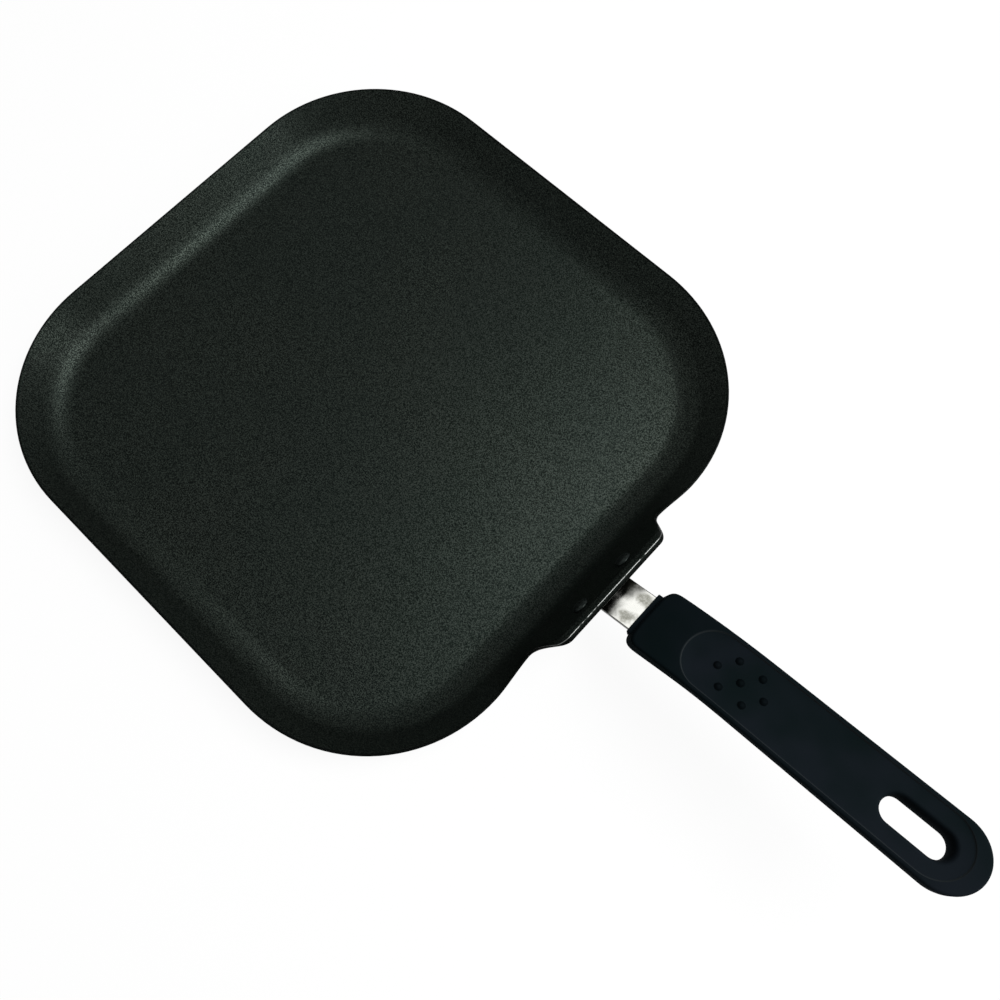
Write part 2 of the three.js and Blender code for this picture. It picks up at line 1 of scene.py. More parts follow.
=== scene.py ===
"""Looks of a square griddle pan: a pressed steel tray, a riveted steel bracket and a moulded grip.

Every surface is a function of two parameters, worked out as whole numpy arrays in millimetres and put
into the mesh in metres. +X runs along the handle, +Z is up, and the origin is the middle of the pan's
flat underside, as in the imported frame.
"""
import logging
import math
from collections.abc import Sequence
from dataclasses import dataclass, field
from enum import Enum

import bmesh
import bpy
import numpy as np
from mathutils import Matrix


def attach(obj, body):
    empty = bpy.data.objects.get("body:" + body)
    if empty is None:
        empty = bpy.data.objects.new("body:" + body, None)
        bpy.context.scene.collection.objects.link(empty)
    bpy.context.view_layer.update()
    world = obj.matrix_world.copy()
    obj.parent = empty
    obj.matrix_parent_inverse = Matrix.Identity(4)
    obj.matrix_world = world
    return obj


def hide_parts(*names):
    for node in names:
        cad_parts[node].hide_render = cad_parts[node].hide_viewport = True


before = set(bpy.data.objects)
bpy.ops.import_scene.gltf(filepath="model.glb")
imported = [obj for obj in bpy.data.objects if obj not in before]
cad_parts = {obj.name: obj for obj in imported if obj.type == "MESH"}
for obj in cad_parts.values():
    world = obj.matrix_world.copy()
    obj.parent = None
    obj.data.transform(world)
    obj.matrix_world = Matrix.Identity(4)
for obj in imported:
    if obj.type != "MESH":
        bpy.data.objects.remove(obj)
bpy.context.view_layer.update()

LOG = logging.getLogger("griddle_pan")
MM = 0.001
FULL_TURN = 2.0 * np.pi
QUARTER_TURN = np.pi / 2.0
MOST = (0.3, 0.7)  # where most of a noise lies
UPPER = (0.35, 0.7)  # its upper part
Array = np.ndarray
Colour = tuple[float, float, float]
Point = tuple[float, float, float]
Pair = tuple[float, float]
Mesh = bpy.types.Mesh
Object = bpy.types.Object
Material = bpy.types.Material
Socket = bpy.types.NodeSocket


class Slot(Enum):
    """Material slots of the record, by finish."""

    COATING = "nonstick_coating"
    PLATED = "plated_steel"
    RIVET = "rivet_coating"
    GRIP = "grip_plastic"
    SCREW = "screw_steel"
    BRASS = "insert_brass"


class Side(Enum):
    """The two sides of the handle's plane, as signs of y."""

    LEFT = 1
    RIGHT = -1


class Closing(Enum):
    """How a grid of points closes into a surface."""

    OPEN = "open on all four sides"
    POLES = "round its columns, with its first and last row each one point"
    RING = "round its columns, with its last row joined to its first"


def smooth(t: Array | float) -> Array:
    """Eases from 0 to 1: 3t^2 - 2t^3 with t held between 0 and 1.

    Args:
        t: The parameter.

    Returns:
        The eased parameter.
    """
    t = np.clip(t, 0.0, 1.0)
    return t * t * (3.0 - 2.0 * t)


def soft_ramp(t: Array, softness: float) -> Array:
    """A straight ramp from 0 to 1 whose two corners are parabolas of the given half length.

    Args:
        t: The parameter; the ramp runs from 0 to 1.
        softness: Half the length of each rounded corner.

    Returns:
        The height of the ramp.
    """
    def knee(v: Array) -> Array:
        """Zero, then a parabola, then v itself."""
        curve = (v + softness) ** 2 / (4.0 * softness)
        return np.where(v <= -softness, 0.0, np.where(v >= softness, v, curve))

    return knee(t) - knee(t - 1.0)


@dataclass
class Patch:
    """A stretch of surface that is on its way into a mesh.

    Attributes:
        vertices: Points in millimetres, one per row.
        quads: Corners of the four-sided faces.
        triangles: Corners of the three-sided faces at poles.
        values: Numbers carried by the vertices, by attribute name.
        finish: Material index of each face, quads first.
    """

    vertices: Array
    quads: Array
    triangles: Array = field(default_factory=lambda: np.zeros((0, 3), int))
    values: dict[str, Array] = field(default_factory=dict)
    finish: Array | None = None

    def outward(self) -> "Patch":
        """Turns the faces of a closed patch so that they enclose a positive volume.

        Returns:
            The same patch.
        """
        fan = np.vstack([self.quads[:, [0, 1, 2]], self.quads[:, [0, 2, 3]], self.triangles])
        a, b, c = (self.vertices[fan[:, k]] for k in range(3))
        if np.einsum("ij,ij->", a, np.cross(b, c)) < 0:
            self.quads = self.quads[:, ::-1]
            self.triangles = self.triangles[:, ::-1]
        return self

    def mesh(self, name: str) -> Mesh:
        """Puts the patch into a new mesh, in metres and smooth shaded.

        Args:
            name: Name of the mesh.

        Returns:
            The mesh.
        """
        data = bpy.data.meshes.new(name)
        faces = self.quads.tolist() + self.triangles.tolist()
        data.from_pydata((self.vertices * MM).tolist(), [], faces)
        for key, numbers in self.values.items():
            layer = data.attributes.new(key, "FLOAT", "POINT")
            layer.data.foreach_set("value", numbers.astype(np.float32).ravel())
        if self.finish is not None:
            data.polygons.foreach_set("material_index", self.finish.astype(np.int32))
        data.polygons.foreach_set("use_smooth", np.ones(len(faces), bool))
        data.update()
        return data


def skin(points: Array, closing: Closing) -> Patch:
    """Skins a grid of points, row after row.

    Args:
        points: Grid of points, rows by columns by 3.
        closing: How the grid closes.

    Returns:
        The patch, facing outwards where it is closed, with its vertices kept row by row.
    """
    index = np.arange(points.shape[0] * points.shape[1]).reshape(points.shape[:2])
    if closing is Closing.OPEN:
        corners = (index[:-1, :-1], index[:-1, 1:], index[1:, 1:], index[1:, :-1])
        return Patch(points.reshape(-1, 3), np.stack(corners, axis=-1).reshape(-1, 4))
    poles = closing is Closing.POLES
    keep = pole_mask(index.shape) if poles else np.ones(index.shape, bool)
    if poles:
        index[[0, -1]] = index[[0, -1], :1]
        index = (np.cumsum(keep.ravel()) - 1)[index]
    below, above = (index[:-1], index[1:]) if poles else (index, np.roll(index, -1, axis=0))
    cells = np.stack([below, np.roll(below, -1, axis=1), np.roll(above, -1, axis=1), above], axis=-1)
    patch = Patch(points[keep], (cells[1:-1] if poles else cells).reshape(-1, 4))
    if poles:
        patch.triangles = np.vstack([cells[0][:, [0, 2, 3]], cells[-1][:, [0, 1, 2]]])
    return patch.outward()


def pole_mask(shape: tuple[int, ...]) -> Array:
    """Which points of a grid with poles become vertices: all, but one alone of the first and last row.

    Args:
        shape: Rows and columns of the grid.

    Returns:
        True for each point that is kept.
    """
    keep = np.ones(shape, bool)
    keep[[0, -1], 1:] = False
    return keep


def turned(radius: Array, height: Array, steps: int) -> Array:
    """Turns a profile about the z axis: (r cos a, r sin a, h) for each angle a.

    Args:
        radius: Radii of the profile, one per row or rows by columns.
        height: Heights of the profile, in the same shape.
        steps: Number of columns round the axis.

    Returns:
        Grid of points, rows by steps by 3.
    """
    angle = round_angles(steps)
    radius = np.broadcast_to(np.asarray(radius, float).reshape(len(radius), -1), (len(radius), steps))
    height = np.broadcast_to(np.asarray(height, float).reshape(len(height), -1), radius.shape)
    return np.stack([radius * np.cos(angle), radius * np.sin(angle), height], axis=-1)


def round_angles(steps: int) -> Array:
    """Even angles once round, without the last."""
    return np.linspace(0.0, FULL_TURN, steps, endpoint=False)


def triangle_wave(turns: Array) -> Array:
    """Falls from 1 to 0 and rises back to 1 once in each turn."""
    return np.abs(turns % 1.0 * 2.0 - 1.0)


def squarish(steps: int, power: float) -> tuple[Array, Array]:
    """A loop between a circle and a square: cos and sin, each raised to a power with its sign kept.

    Args:
        steps: Points round the loop.
        power: 1 for a circle, towards 0 for a square.

    Returns:
        The two coordinates, from -1 to 1.
    """
    c, s = np.cos(round_angles(steps)), np.sin(round_angles(steps))
    return np.sign(c) * np.abs(c) ** power, np.sign(s) * np.abs(s) ** power


def softened(profile: Sequence[Pair], radius: float, steps: int = 3) -> Array:
    """Rounds the inner corners of an open profile with a parabola that touches both arms.

    Each corner c with points p and q at the given distance on its arms becomes the curve
    (1-t)^2 p + 2t(1-t) c + t^2 q.

    Args:
        profile: Pairs of radius and height.
        radius: Distance from the corner to where the curve starts, at most 0.45 of an arm.
        steps: Points along each curve, less one.

    Returns:
        The rounded profile, points by 2.
    """
    corners = np.asarray(profile, float)
    before, middle, after = corners[:-2], corners[1:-1], corners[2:]

    def towards(target: Array) -> Array:
        """The point on the arm from the corner to the target where the curve touches it.

        Args:
            target: The corners at the arms' other ends.

        Returns:
            The points.
        """
        arm = target - middle
        length = np.linalg.norm(arm, axis=1, keepdims=True)
        return middle + arm / length * np.minimum(radius, 0.45 * length)

    t = np.linspace(0.0, 1.0, steps + 1)[None, :, None]
    p, c, q = towards(before)[:, None], middle[:, None], towards(after)[:, None]
    curves = (1 - t) ** 2 * p + 2 * t * (1 - t) * c + t**2 * q
    return np.vstack([corners[:1], curves.reshape(-1, 2), corners[-1:]])


@dataclass(frozen=True)
class Axes:
    """A right-handed set of axes in the handle's plane, for building a piece in place.

    Attributes:
        origin: Where the axes stand.
        along: The local x direction.
        up: The local z direction.
    """

    origin: Array
    along: Array
    up: Array

    def place(self, points: Array) -> Array:
        """Carries local points to the pan's own frame: origin + x along + y across + z up.

        Args:
            points: Local points in the last axis.

        Returns:
            The points in the pan's frame.
        """
        across = np.cross(self.up, self.along)
        return self.origin + points @ np.stack([self.along, across, self.up])


@dataclass
class Wall:
    """The pan's wall at every station round the floor, as arrays of stations by levels.

    Attributes:
        run: Distance outwards from the floor's edge.
        rise: Height above the floor.
        slope: Angle of the wall from level, in radians.
        crest: Distance along the wall from its highest line, or from a line just inside a plain rim.
    """

    run: Array
    rise: Array
    slope: Array
    crest: Array


@dataclass
class PanTray:
    """The pressed tray with its flared walls, rounded corners and raised ear."""

    side: float = 280.0
    depth: float = 16.8
    rim_corner: float = 75.0
    sheet: float = 1.2
    floor_bend: float = 17.0
    wall_angle: float = 52.0
    ear_angle: float = 71.5
    ear_height: float = 18.2
    ear_top_width: float = 61.0
    ear_root_width: float = 80.0
    ear_root_lift: float = 4.0
    ear_lip_radius: float = 3.0
    ear_lip_turn: float = 112.0
    ear_corner_softness: float = 0.3
    rim_round: float = 0.4
    rim_line: float = 0.45
    level_crowding: float = 1.4
    far_from_crest: float = 50.0
    corner_steps: int = 30
    ear_steps: int = 150
    side_steps: int = 16
    bend_steps: int = 14
    wall_steps: int = 30
    rim_steps: int = 7
    floor_rings: int = 7

    def __post_init__(self) -> None:
        """Works out the floor's half width and corner from the rim's."""
        angle = math.radians(self.wall_angle)
        foot_run = self.floor_bend * math.sin(angle)
        foot_rise = self.floor_bend * (1.0 - math.cos(angle))
        flare = foot_run + (self.depth - foot_rise) / math.tan(angle) + self.sheet * math.sin(angle)
        self.floor_half = self.side / 2.0 - flare
        self.floor_corner = self.rim_corner - flare
        self.side_half = self.floor_half - self.floor_corner

    def ear_weight(self, y: Array) -> Array:
        """How far the wall has turned into the ear: 0 at the ends of the side, eased to 1 at the root."""
        return smooth((self.side_half - np.abs(y)) / (self.side_half - self.ear_root_width / 2.0))

    def ear_ramp(self, y: Array) -> Array:
        """The ear's outline: a trapezoid with softened corners, 0 at its root and 1 along its top."""
        flank = (self.ear_root_width - self.ear_top_width) / 2.0
        return soft_ramp((self.ear_root_width / 2.0 - np.abs(y)) / flank, self.ear_corner_softness)

    def ear_lift(self, y: Array) -> Array:
        """Height of the ear's straight part above the rim: a low swell plus the outline."""
        tall = self.ear_height - self.ear_root_lift
        return self.ear_root_lift * self.ear_weight(y) + tall * self.ear_ramp(y)

    def stations(self) -> tuple[Array, Array, Array, Array]:
        """Walks round the floor's edge: straight sides joined by quarter circles, from the +X side on.

        Returns:
            x, y, the outward angle, and 1 on the ear's side or 0 elsewhere, for each station.
        """
        parts = []
        for quarter in range(4):
            steps = self.ear_steps if quarter == 0 else self.side_steps
            along = self.side_half * np.linspace(-1.0, 1.0, steps + 1)[1:-1]
            turn = np.linspace(0.0, QUARTER_TURN, self.corner_steps + 1)
            side = np.full(len(along), self.floor_half)
            x = np.r_[side, self.side_half + self.floor_corner * np.cos(turn)]
            y = np.r_[along, self.side_half + self.floor_corner * np.sin(turn)]
            out = np.r_[np.zeros(len(along)), turn] + quarter * QUARTER_TURN
            on_ear = np.r_[np.full(len(along), float(quarter == 0)), np.zeros(len(turn))]
            c, s = math.cos(quarter * QUARTER_TURN), math.sin(quarter * QUARTER_TURN)
            parts.append((c * x - s * y, s * x + c * y, out, on_ear))
        return tuple(np.concatenate(column) for column in zip(*parts))

    def wall(self, y: Array, on_ear: Array) -> Wall:
        """Works out the inner face of the wall.

        From the floor's edge it follows an arc of the bend's radius up to the wall's slope, runs straight,
        and on the ear rolls outwards and down on an arc of the lip's radius. Levels close up at the rim.

        Args:
            y: Place of each station across the handle.
            on_ear: 1 where the station is on the ear's side.

        Returns:
            The wall, stations by levels.
        """
        weight = (self.ear_weight(y) * on_ear)[:, None]
        slope = np.radians(self.wall_angle + (self.ear_angle - self.wall_angle) * weight)
        top = self.depth + (self.ear_lift(y) * on_ear)[:, None]
        turn = math.radians(self.ear_lip_turn) * (self.ear_ramp(y) * on_ear)[:, None]
        bend, lip = self.floor_bend, self.ear_lip_radius
        low = slope * np.linspace(0.0, 1.0, self.bend_steps, endpoint=False)
        straight = (top - bend * (1.0 - np.cos(slope))) / np.sin(slope)
        length = straight + lip * turn - self.rim_round / 2.0
        path = length * (1.0 - (1.0 - np.linspace(0.0, 1.0, self.wall_steps + 1)) ** self.level_crowding)
        ahead = np.minimum(path, straight)
        high = slope - (path - ahead) / lip
        run = bend * np.sin(slope) + ahead * np.cos(slope) + lip * (np.sin(slope) - np.sin(high))
        rise = bend * (1.0 - np.cos(slope)) + ahead * np.sin(slope) + lip * (np.cos(high) - np.cos(slope))
        crest = np.minimum(straight + lip * slope, length - self.rim_line)
        return Wall(
            run=np.hstack([bend * np.sin(low), run]),
            rise=np.hstack([bend * (1.0 - np.cos(low)), rise]),
            slope=np.hstack([low, high]),
            crest=np.hstack([crest + bend * (slope - low), crest - path]),
        )

    def patch(self) -> Patch:
        """Skins the tray from the middle of its floor up the inside, over the rim and back underneath.

        The outer face is the inner one moved by the sheet's thickness along (sin slope, -cos slope), and
        the rim between them is half an ellipse.

        Returns:
            The closed tray, with the distance from the crest and the ear's weight on its vertices.
        """
        x, y, out, on_ear = self.stations()
        wall = self.wall(y, on_ear)
        bow = np.linspace(0.0, np.pi, self.rim_steps + 2)[1:-1]
        last = wall.slope[:, -1:]
        through = self.sheet * (1.0 - np.cos(bow)) / 2.0
        ahead = self.rim_round * np.sin(bow)
        rim_run = wall.run[:, -1:] + through * np.sin(last) + ahead * np.cos(last)
        rim_rise = wall.rise[:, -1:] - through * np.cos(last) + ahead * np.sin(last)
        outer_run = (wall.run + self.sheet * np.sin(wall.slope))[:, ::-1]
        outer_rise = (wall.rise - self.sheet * np.cos(wall.slope))[:, ::-1]
        run = np.hstack([wall.run, rim_run, outer_run])
        height = self.sheet + np.hstack([wall.rise, rim_rise, outer_rise])
        body = np.stack([
            x[:, None] + run * np.cos(out)[:, None], y[:, None] + run * np.sin(out)[:, None], height,
        ]).transpose(2, 1, 0)
        share = np.linspace(0.0, 1.0, self.floor_rings + 2)[:-1, None]
        level = np.zeros_like(share * x)
        inside = np.stack([share * x, share * y, level + self.sheet], axis=-1)
        outside = np.stack([share * x, share * y, level], axis=-1)[::-1]
        points = np.concatenate([inside, body, outside])
        patch = skin(points, Closing.POLES)
        crest = np.full(points.shape[:2], -self.far_from_crest)
        crest[: len(inside)] = self.far_from_crest
        crest[len(inside) : len(inside) + wall.crest.shape[1]] = wall.crest.T
        ear = np.broadcast_to(self.ear_weight(y) * on_ear, crest.shape)
        keep = pole_mask(crest.shape)
        patch.values = {"crest_distance": crest[keep], "ear_share": ear[keep]}
        turn_row = len(inside) + wall.run.shape[1] + len(bow) // 2
        rows = np.repeat(np.arange(1, len(points) - 2), len(x))
        patch.finish = np.r_[(rows >= turn_row).astype(int), np.repeat([0, 1], len(x))]
        return patch

    def build(self) -> Object:
        """Makes the tray and dresses it in the coating inside and enamel outside."""
        finishes = NonstickCoating().material(), OuterEnamel().material()
        return place_piece(self.patch().mesh("pan_body_looks"), "pan_body", Slot.COATING, *finishes)


@dataclass
class HandleMount:
    """Where the handle meets the pan: the ear's flat face, the bracket's bend and the tang.

    Attributes:
        tray: The pan that the handle is mounted on.
    """

    tray: PanTray
    rivet_spacing: float = 27.0
    rivet_lift: float = 12.4
    clearance: float = 0.3
    thickness: float = 2.0
    bend_radius: float = 2.0
    bend_drop: float = 1.0
    tang_slope: float = 22.0
    tang_shown: float = 18.8
    tang_width: float = 17.8
    screw_from_front: float = 14.0

    def ear_axes(self, side: Side | None = None) -> Axes:
        """Axes on the ear's inner face at rivet height, x up the slope and z out of its back.

        Args:
            side: The rivet that they stand at, or none for the middle.

        Returns:
            The axes.
        """
        tray = self.tray
        angle = math.radians(tray.ear_angle)
        rise = tray.depth + self.rivet_lift
        foot = tray.floor_bend * (1.0 - math.cos(angle))
        run = tray.floor_bend * math.sin(angle) + (rise - foot) / math.tan(angle)
        y = side.value * self.rivet_spacing / 2.0 if side else 0.0
        return Axes(
            origin=np.array([tray.floor_half + run, y, tray.sheet + rise]),
            along=np.array([math.cos(angle), 0.0, math.sin(angle)]),
            up=np.array([math.sin(angle), 0.0, -math.cos(angle)]),
        )

    def plate_middle(self) -> float:
        """Distance of the bracket plate's middle surface out of the ear's inner face."""
        return self.tray.sheet + self.clearance + self.thickness / 2.0

    def bend_middle(self) -> float:
        """Radius of the bend's middle surface."""
        return self.bend_radius + self.thickness / 2.0

    def bend_arc(self) -> float:
        """Length of the bend's middle line, from the ear's slope to the tang's."""
        return self.bend_middle() * math.radians(self.tray.ear_angle - self.tang_slope)

    def bend_centre(self) -> Array:
        """The bend's axis in the handle's plane, out from the bracket's plate.

        Returns:
            The point.
        """
        ear = self.ear_axes()
        out = self.plate_middle() + self.bend_middle()
        return ear.origin - self.bend_drop * ear.along + out * ear.up

    def tang_axes(self) -> Axes:
        """Axes on the tang's middle line where the grip starts, x along the tang and z square to it.

        Returns:
            The axes.
        """
        slope = math.radians(self.tang_slope)
        along = np.array([math.cos(slope), 0.0, math.sin(slope)])
        up = np.array([-math.sin(slope), 0.0, math.cos(slope)])
        root = self.bend_centre() + self.bend_middle() * up
        return Axes(origin=root + self.tang_shown * along, along=along, up=up)


@dataclass
class Bracket:
    """The stamped steel bracket: a notched plate behind the ear whose stem bends out into the grip."""

    mount: HandleMount
    plate_width: float = 41.0
    plate_height: float = 11.0
    plate_corner: float = 4.0
    plate_top: float = 3.2
    relief: float = 0.6
    tang_held: float = 42.0
    edge_round: float = 0.3
    edge_angle: float = 50.0
    edge_segments: int = 3
    corner_steps: int = 7
    wing_steps: int = 4
    stem_steps: int = 6
    plate_rows: int = 5
    bend_rows: int = 8
    tang_rows: int = 12
    near_zero: float = 1e-6

    def stem_path(self, length: Array) -> tuple[Array, Array]:
        """Follows the stem's middle line: an arc of the bend's radius, then straight along the tang.

        Args:
            length: Distances along it from the start of the bend.

        Returns:
            Points x and z of the middle line, in the pan's frame.
        """
        mount = self.mount
        radius, centre, tang = mount.bend_middle(), mount.bend_centre(), mount.tang_axes()
        slope = math.radians(mount.tray.ear_angle) - np.minimum(length, mount.bend_arc()) / radius
        ahead = np.maximum(length - mount.bend_arc(), 0.0)
        x = centre[0] - radius * np.sin(slope) + ahead * tang.along[0]
        z = centre[2] + radius * np.cos(slope) + ahead * tang.along[2]
        return x, z

    def columns(self) -> Array:
        """Places across the bracket: close together at the rounded ends and at the notch.

        Returns:
            The places, from right to left.
        """
        half, stem = self.plate_width / 2.0, self.mount.tang_width / 2.0
        turn = np.linspace(0.0, QUARTER_TURN, self.corner_steps + 1)
        end = half - self.plate_corner * (1.0 - np.sin(turn))
        wing = np.linspace(stem + self.relief, half - self.plate_corner, self.wing_steps + 1)[:-1]
        right = np.r_[np.linspace(0.0, stem, self.stem_steps + 1), wing, end]
        return np.r_[-right[:0:-1], right]

    def patch(self) -> Patch:
        """Lays the bracket's middle surface out on one grid, across by up.

        Rows run from the plate's lower edge to the start of the bend. Above it the middle columns follow
        the stem's path and the outer ones run on to the plate's top; the cells of the relief between them
        are left out. The plate's corners are quarter circles.

        Returns:
            The open middle surface, to be given its thickness by a modifier.
        """
        mount = self.mount
        ear = mount.ear_axes()
        across = self.columns()
        half, stem = self.plate_width / 2.0, mount.tang_width / 2.0
        past = np.clip(np.abs(across) - (half - self.plate_corner), 0.0, self.plate_corner)
        cut = self.plate_corner - np.sqrt(self.plate_corner**2 - past**2)
        low, top = self.plate_top - self.plate_height + cut, self.plate_top - cut
        start, arc = -mount.bend_drop, mount.bend_arc()
        lower = np.linspace(0.0, 1.0, self.plate_rows + 1)[:-1, None]
        reach = arc + mount.tang_shown + self.tang_held
        bend = np.linspace(0.0, arc, self.bend_rows + 1)
        length = np.r_[bend, np.linspace(arc, reach, self.tang_rows + 1)[1:]][:, None]
        plate_up = np.vstack([low + (start - low) * lower, start + (top - start) * length / reach])
        in_stem = np.abs(across) <= stem + self.near_zero
        points = ear.origin + plate_up[..., None] * ear.along + mount.plate_middle() * ear.up
        points[..., 1] = across
        rows = slice(len(lower), None)
        points[rows, in_stem, 0], points[rows, in_stem, 2] = self.stem_path(length)
        patch = skin(points, Closing.OPEN)
        shown = np.where(in_stem, np.vstack([np.zeros((len(lower), 1)), length]), 0.0)
        wide = np.broadcast_to(across, shown.shape)
        patch.values = {"along_tang": shown.ravel(), "across_tang": wide.ravel()}
        row, column = np.divmod(np.arange(len(patch.quads)), len(across) - 1)
        apart = in_stem[column] != in_stem[column + 1]
        patch.quads = patch.quads[~(apart & (row >= len(lower)))]
        return patch

    def build(self) -> Object:
        """Makes the bracket, gives the sheet its thickness and rounds its edges.

        Returns:
            The piece.
        """
        mesh = self.patch().mesh("handle_bracket_looks")
        drop_loose_points(mesh)
        piece = place_piece(mesh, "handle_bracket", Slot.PLATED, PlatedSteel().material())
        wall = piece.modifiers.new("sheet", "SOLIDIFY")
        wall.thickness = self.mount.thickness * MM
        wall.offset = 0.0
        wall.use_even_offset = True
        edges = piece.modifiers.new("edges", "BEVEL")
        edges.width = self.edge_round * MM
        edges.segments = self.edge_segments
        edges.limit_method = "ANGLE"
        edges.angle_limit = math.radians(self.edge_angle)
        return piece


@dataclass
class Rivets:
    """Two domed rivets through the ear and the bracket's wings."""

    mount: HandleMount
    shank_radius: float = 2.2
    head_radius: float = 3.9
    head_height: float = 1.7
    tail_radius: float = 3.2
    tail_height: float = 1.0
    head_tuck: float = 0.2
    shoulder: float = 0.25
    edge_round: float = 0.25
    dome_steps: int = 13
    steps: int = 48

    def patch(self, side: Side) -> Patch:
        """Turns one rivet about the ear's normal: an elliptic dome, a plain shank and an upset tail.

        Args:
            side: Which of the two rivets.

        Returns:
            The closed rivet, in place.
        """
        mount = self.mount
        base = -mount.clearance
        far = mount.plate_middle() + mount.thickness / 2.0 + mount.clearance
        turn = np.linspace(0.0, QUARTER_TURN, self.dome_steps + 1)
        dome = np.stack([self.head_radius * np.sin(turn), base - self.head_height * np.cos(turn)], axis=1)
        corners = [
            (self.head_radius, base),
            (self.head_radius - self.head_tuck, base + self.shoulder),
            (self.shank_radius, base + self.shoulder),
            (self.shank_radius, far),
            (self.tail_radius, far),
            (self.tail_radius, far + self.tail_height / 2.0),
            (self.shank_radius, far + self.tail_height),
            (0.0, far + self.tail_height),
        ]
        profile = np.vstack([dome, softened(corners, self.edge_round)[1:]])
        points = turned(profile[:, 0], profile[:, 1], self.steps)
        return skin(mount.ear_axes(side).place(points), Closing.POLES)

    def build(self) -> list[Object]:
        """Makes both rivets and dresses them in the dark coating.

        Returns:
            The pieces.
        """
        finish = RivetCoating().material()
        nodes = {side: f"rivet_{side.name.lower()}" for side in Side}
        return [
            place_piece(self.patch(side).mesh(f"{node}_looks"), node, Slot.RIVET, finish)
            for side, node in nodes.items()
        ]


@dataclass
class Grip:
    """The arched moulded grip with a dished panel, seven raised dots and a hanging slot."""

    mount: HandleMount
    length: float = 141.7
    width: float = 28.4
    top: float = 5.45
    front_below: float = 8.6
    rear_below: float = 4.9
    taper_length: float = 41.0
    start_slope: float = 28.0
    end_slope: float = 10.2
    arch_length: float = 50.0
    front_depth: float = 11.0
    front_squareness: float = 5.0
    front_rake: float = 0.6
    rake_reach: float = 34.0
    top_edge: float = 1.2
    bottom_edge: float = 6.0
    panel_lip: float = 0.4
    panel_bevel: float = 0.5
    panel_depth: float = 0.6
    panel_dish: float = 0.6
    panel_start: float = 21.0
    panel_to_tip: float = 6.3
    slot_length: float = 25.4
    slot_width: float = 10.1
    slot_to_tip: float = 12.3
    slot_top_flare: float = 2.0
    slot_sole_flare: float = 0.8
    dot_radius: float = 1.6
    dot_height: float = 0.7
    dot_pitch: float = 10.0
    dot_row_step: float = 6.5
    dots_from_front: float = 44.5
    dot_fall: float = 1.2
    dot_sink: float = 0.4
    dot_foot: float = 0.05
    # Least and most painted shade on a dot.
    dot_shades: Pair = (0.1, 0.8)
    collar_wall: float = 1.5
    collar_proud: float = 0.8
    collar_edge: float = 0.5
    collar_depths: Pair = (5.0, 2.0)
    collar_power: float = 0.25
    well_radius: float = 4.4
    well_top: float = 0.5
    # Share of the painted highlight left on the panel's lip row.
    highlight_at_lip: float = 0.3
    lip_shares: tuple[float, ...] = (0.02, 0.08, 0.25, 0.5, 0.75, 1.0)
    shade_to_tip: float = 22.0
    shade_fade: float = 16.0
    crease_angle: float = 40.0
    nose_steps: int = 26
    flank_steps: int = 34
    tail_steps: int = 22
    edge_steps: int = 7
    panel_steps: int = 16
    bevel_steps: int = 5
    side_steps: int = 4
    sole_edge_steps: int = 8
    sole_steps: int = 12
    dot_steps: int = 9
    dot_columns: int = 28
    collar_steps: int = 4
    collar_columns: int = 96
    well_columns: int = 56

    def plan_loop(self, start: float, end: float, half: float, front: float, power: float) -> Array:
        """A closed loop in plan: a superellipse front, straight sides and a half-circle rear.

        Args:
            start: Where the front's middle stands.
            end: Where the rear's middle stands.
            half: Half the width.
            front: Depth of the front.
            power: Squareness of the front, 2 for a circle.

        Returns:
            Points along and across, from the front's middle round by +Y.
        """
        turn = np.linspace(0.0, QUARTER_TURN, self.nose_steps, endpoint=False)
        bulge = 2.0 / power
        nose = np.stack([start + front * (1.0 - np.cos(turn) ** bulge), half * np.sin(turn) ** bulge], 1)
        ahead = np.linspace(start + front, end - half, self.flank_steps, endpoint=False)
        flank = np.stack([ahead, np.full_like(ahead, half)], 1)
        back = np.linspace(QUARTER_TURN, 0.0, self.tail_steps + 1)
        tail = np.stack([end - half + half * np.cos(back), half * np.sin(back)], 1)
        loop = np.vstack([nose, flank, tail])
        return np.vstack([loop, loop[-2:0:-1] * [1.0, -1.0]])

    def outer_loop(self, inset: float) -> Array:
        """The grip's outline in plan, drawn in by the inset."""
        half, front = self.width / 2.0 - inset, self.front_depth - inset
        return self.plan_loop(inset, self.length - inset, half, front, self.front_squareness)

    def panel_loop(self, inset: float) -> Array:
        """The panel's outline in plan, at the inset from the grip's outline.

        Args:
            inset: Distance from the grip's outline.

        Returns:
            The loop.
        """
        half = self.width / 2.0 - inset
        start = self.panel_start + inset - self.panel_inset()
        end = self.length - self.panel_to_tip - inset + self.panel_inset()
        return self.plan_loop(start, end, half, half, 2.0)

    def slot_loop(self, grow: float) -> Array:
        """The hanging slot's outline in plan, grown outwards.

        Args:
            grow: How far it is grown.

        Returns:
            The loop.
        """
        end = self.length - self.slot_to_tip
        half = self.slot_width / 2.0 + grow
        return self.plan_loop(end - self.slot_length - grow, end + grow, half, half, 2.0)

    def panel_inset(self) -> float:
        """Distance of the panel's foot from the grip's side."""
        return self.top_edge + self.panel_lip + self.panel_bevel

    def panel_up(self, plan: Array) -> Array:
        """Height of the dished panel: a parabola of the distance from the panel's middle line.

        Args:
            plan: Points along and across.

        Returns:
            Heights above the grip's middle line.
        """
        half = self.width / 2.0 - self.panel_inset()
        first = self.panel_start + half
        last = self.length - self.panel_to_tip - half
        past = np.maximum(np.maximum(first - plan[..., 0], plan[..., 0] - last), 0.0)
        share = np.minimum(np.hypot(past, plan[..., 1]) / half, 1.0)
        return self.top - self.panel_depth - self.panel_dish * (1.0 - share**2)

    def below(self, along: Array) -> Array:
        """Depth of the sole under the middle line, eased from the front's to the rear's."""
        return self.front_below + (self.rear_below - self.front_below) * smooth(along / self.taper_length)

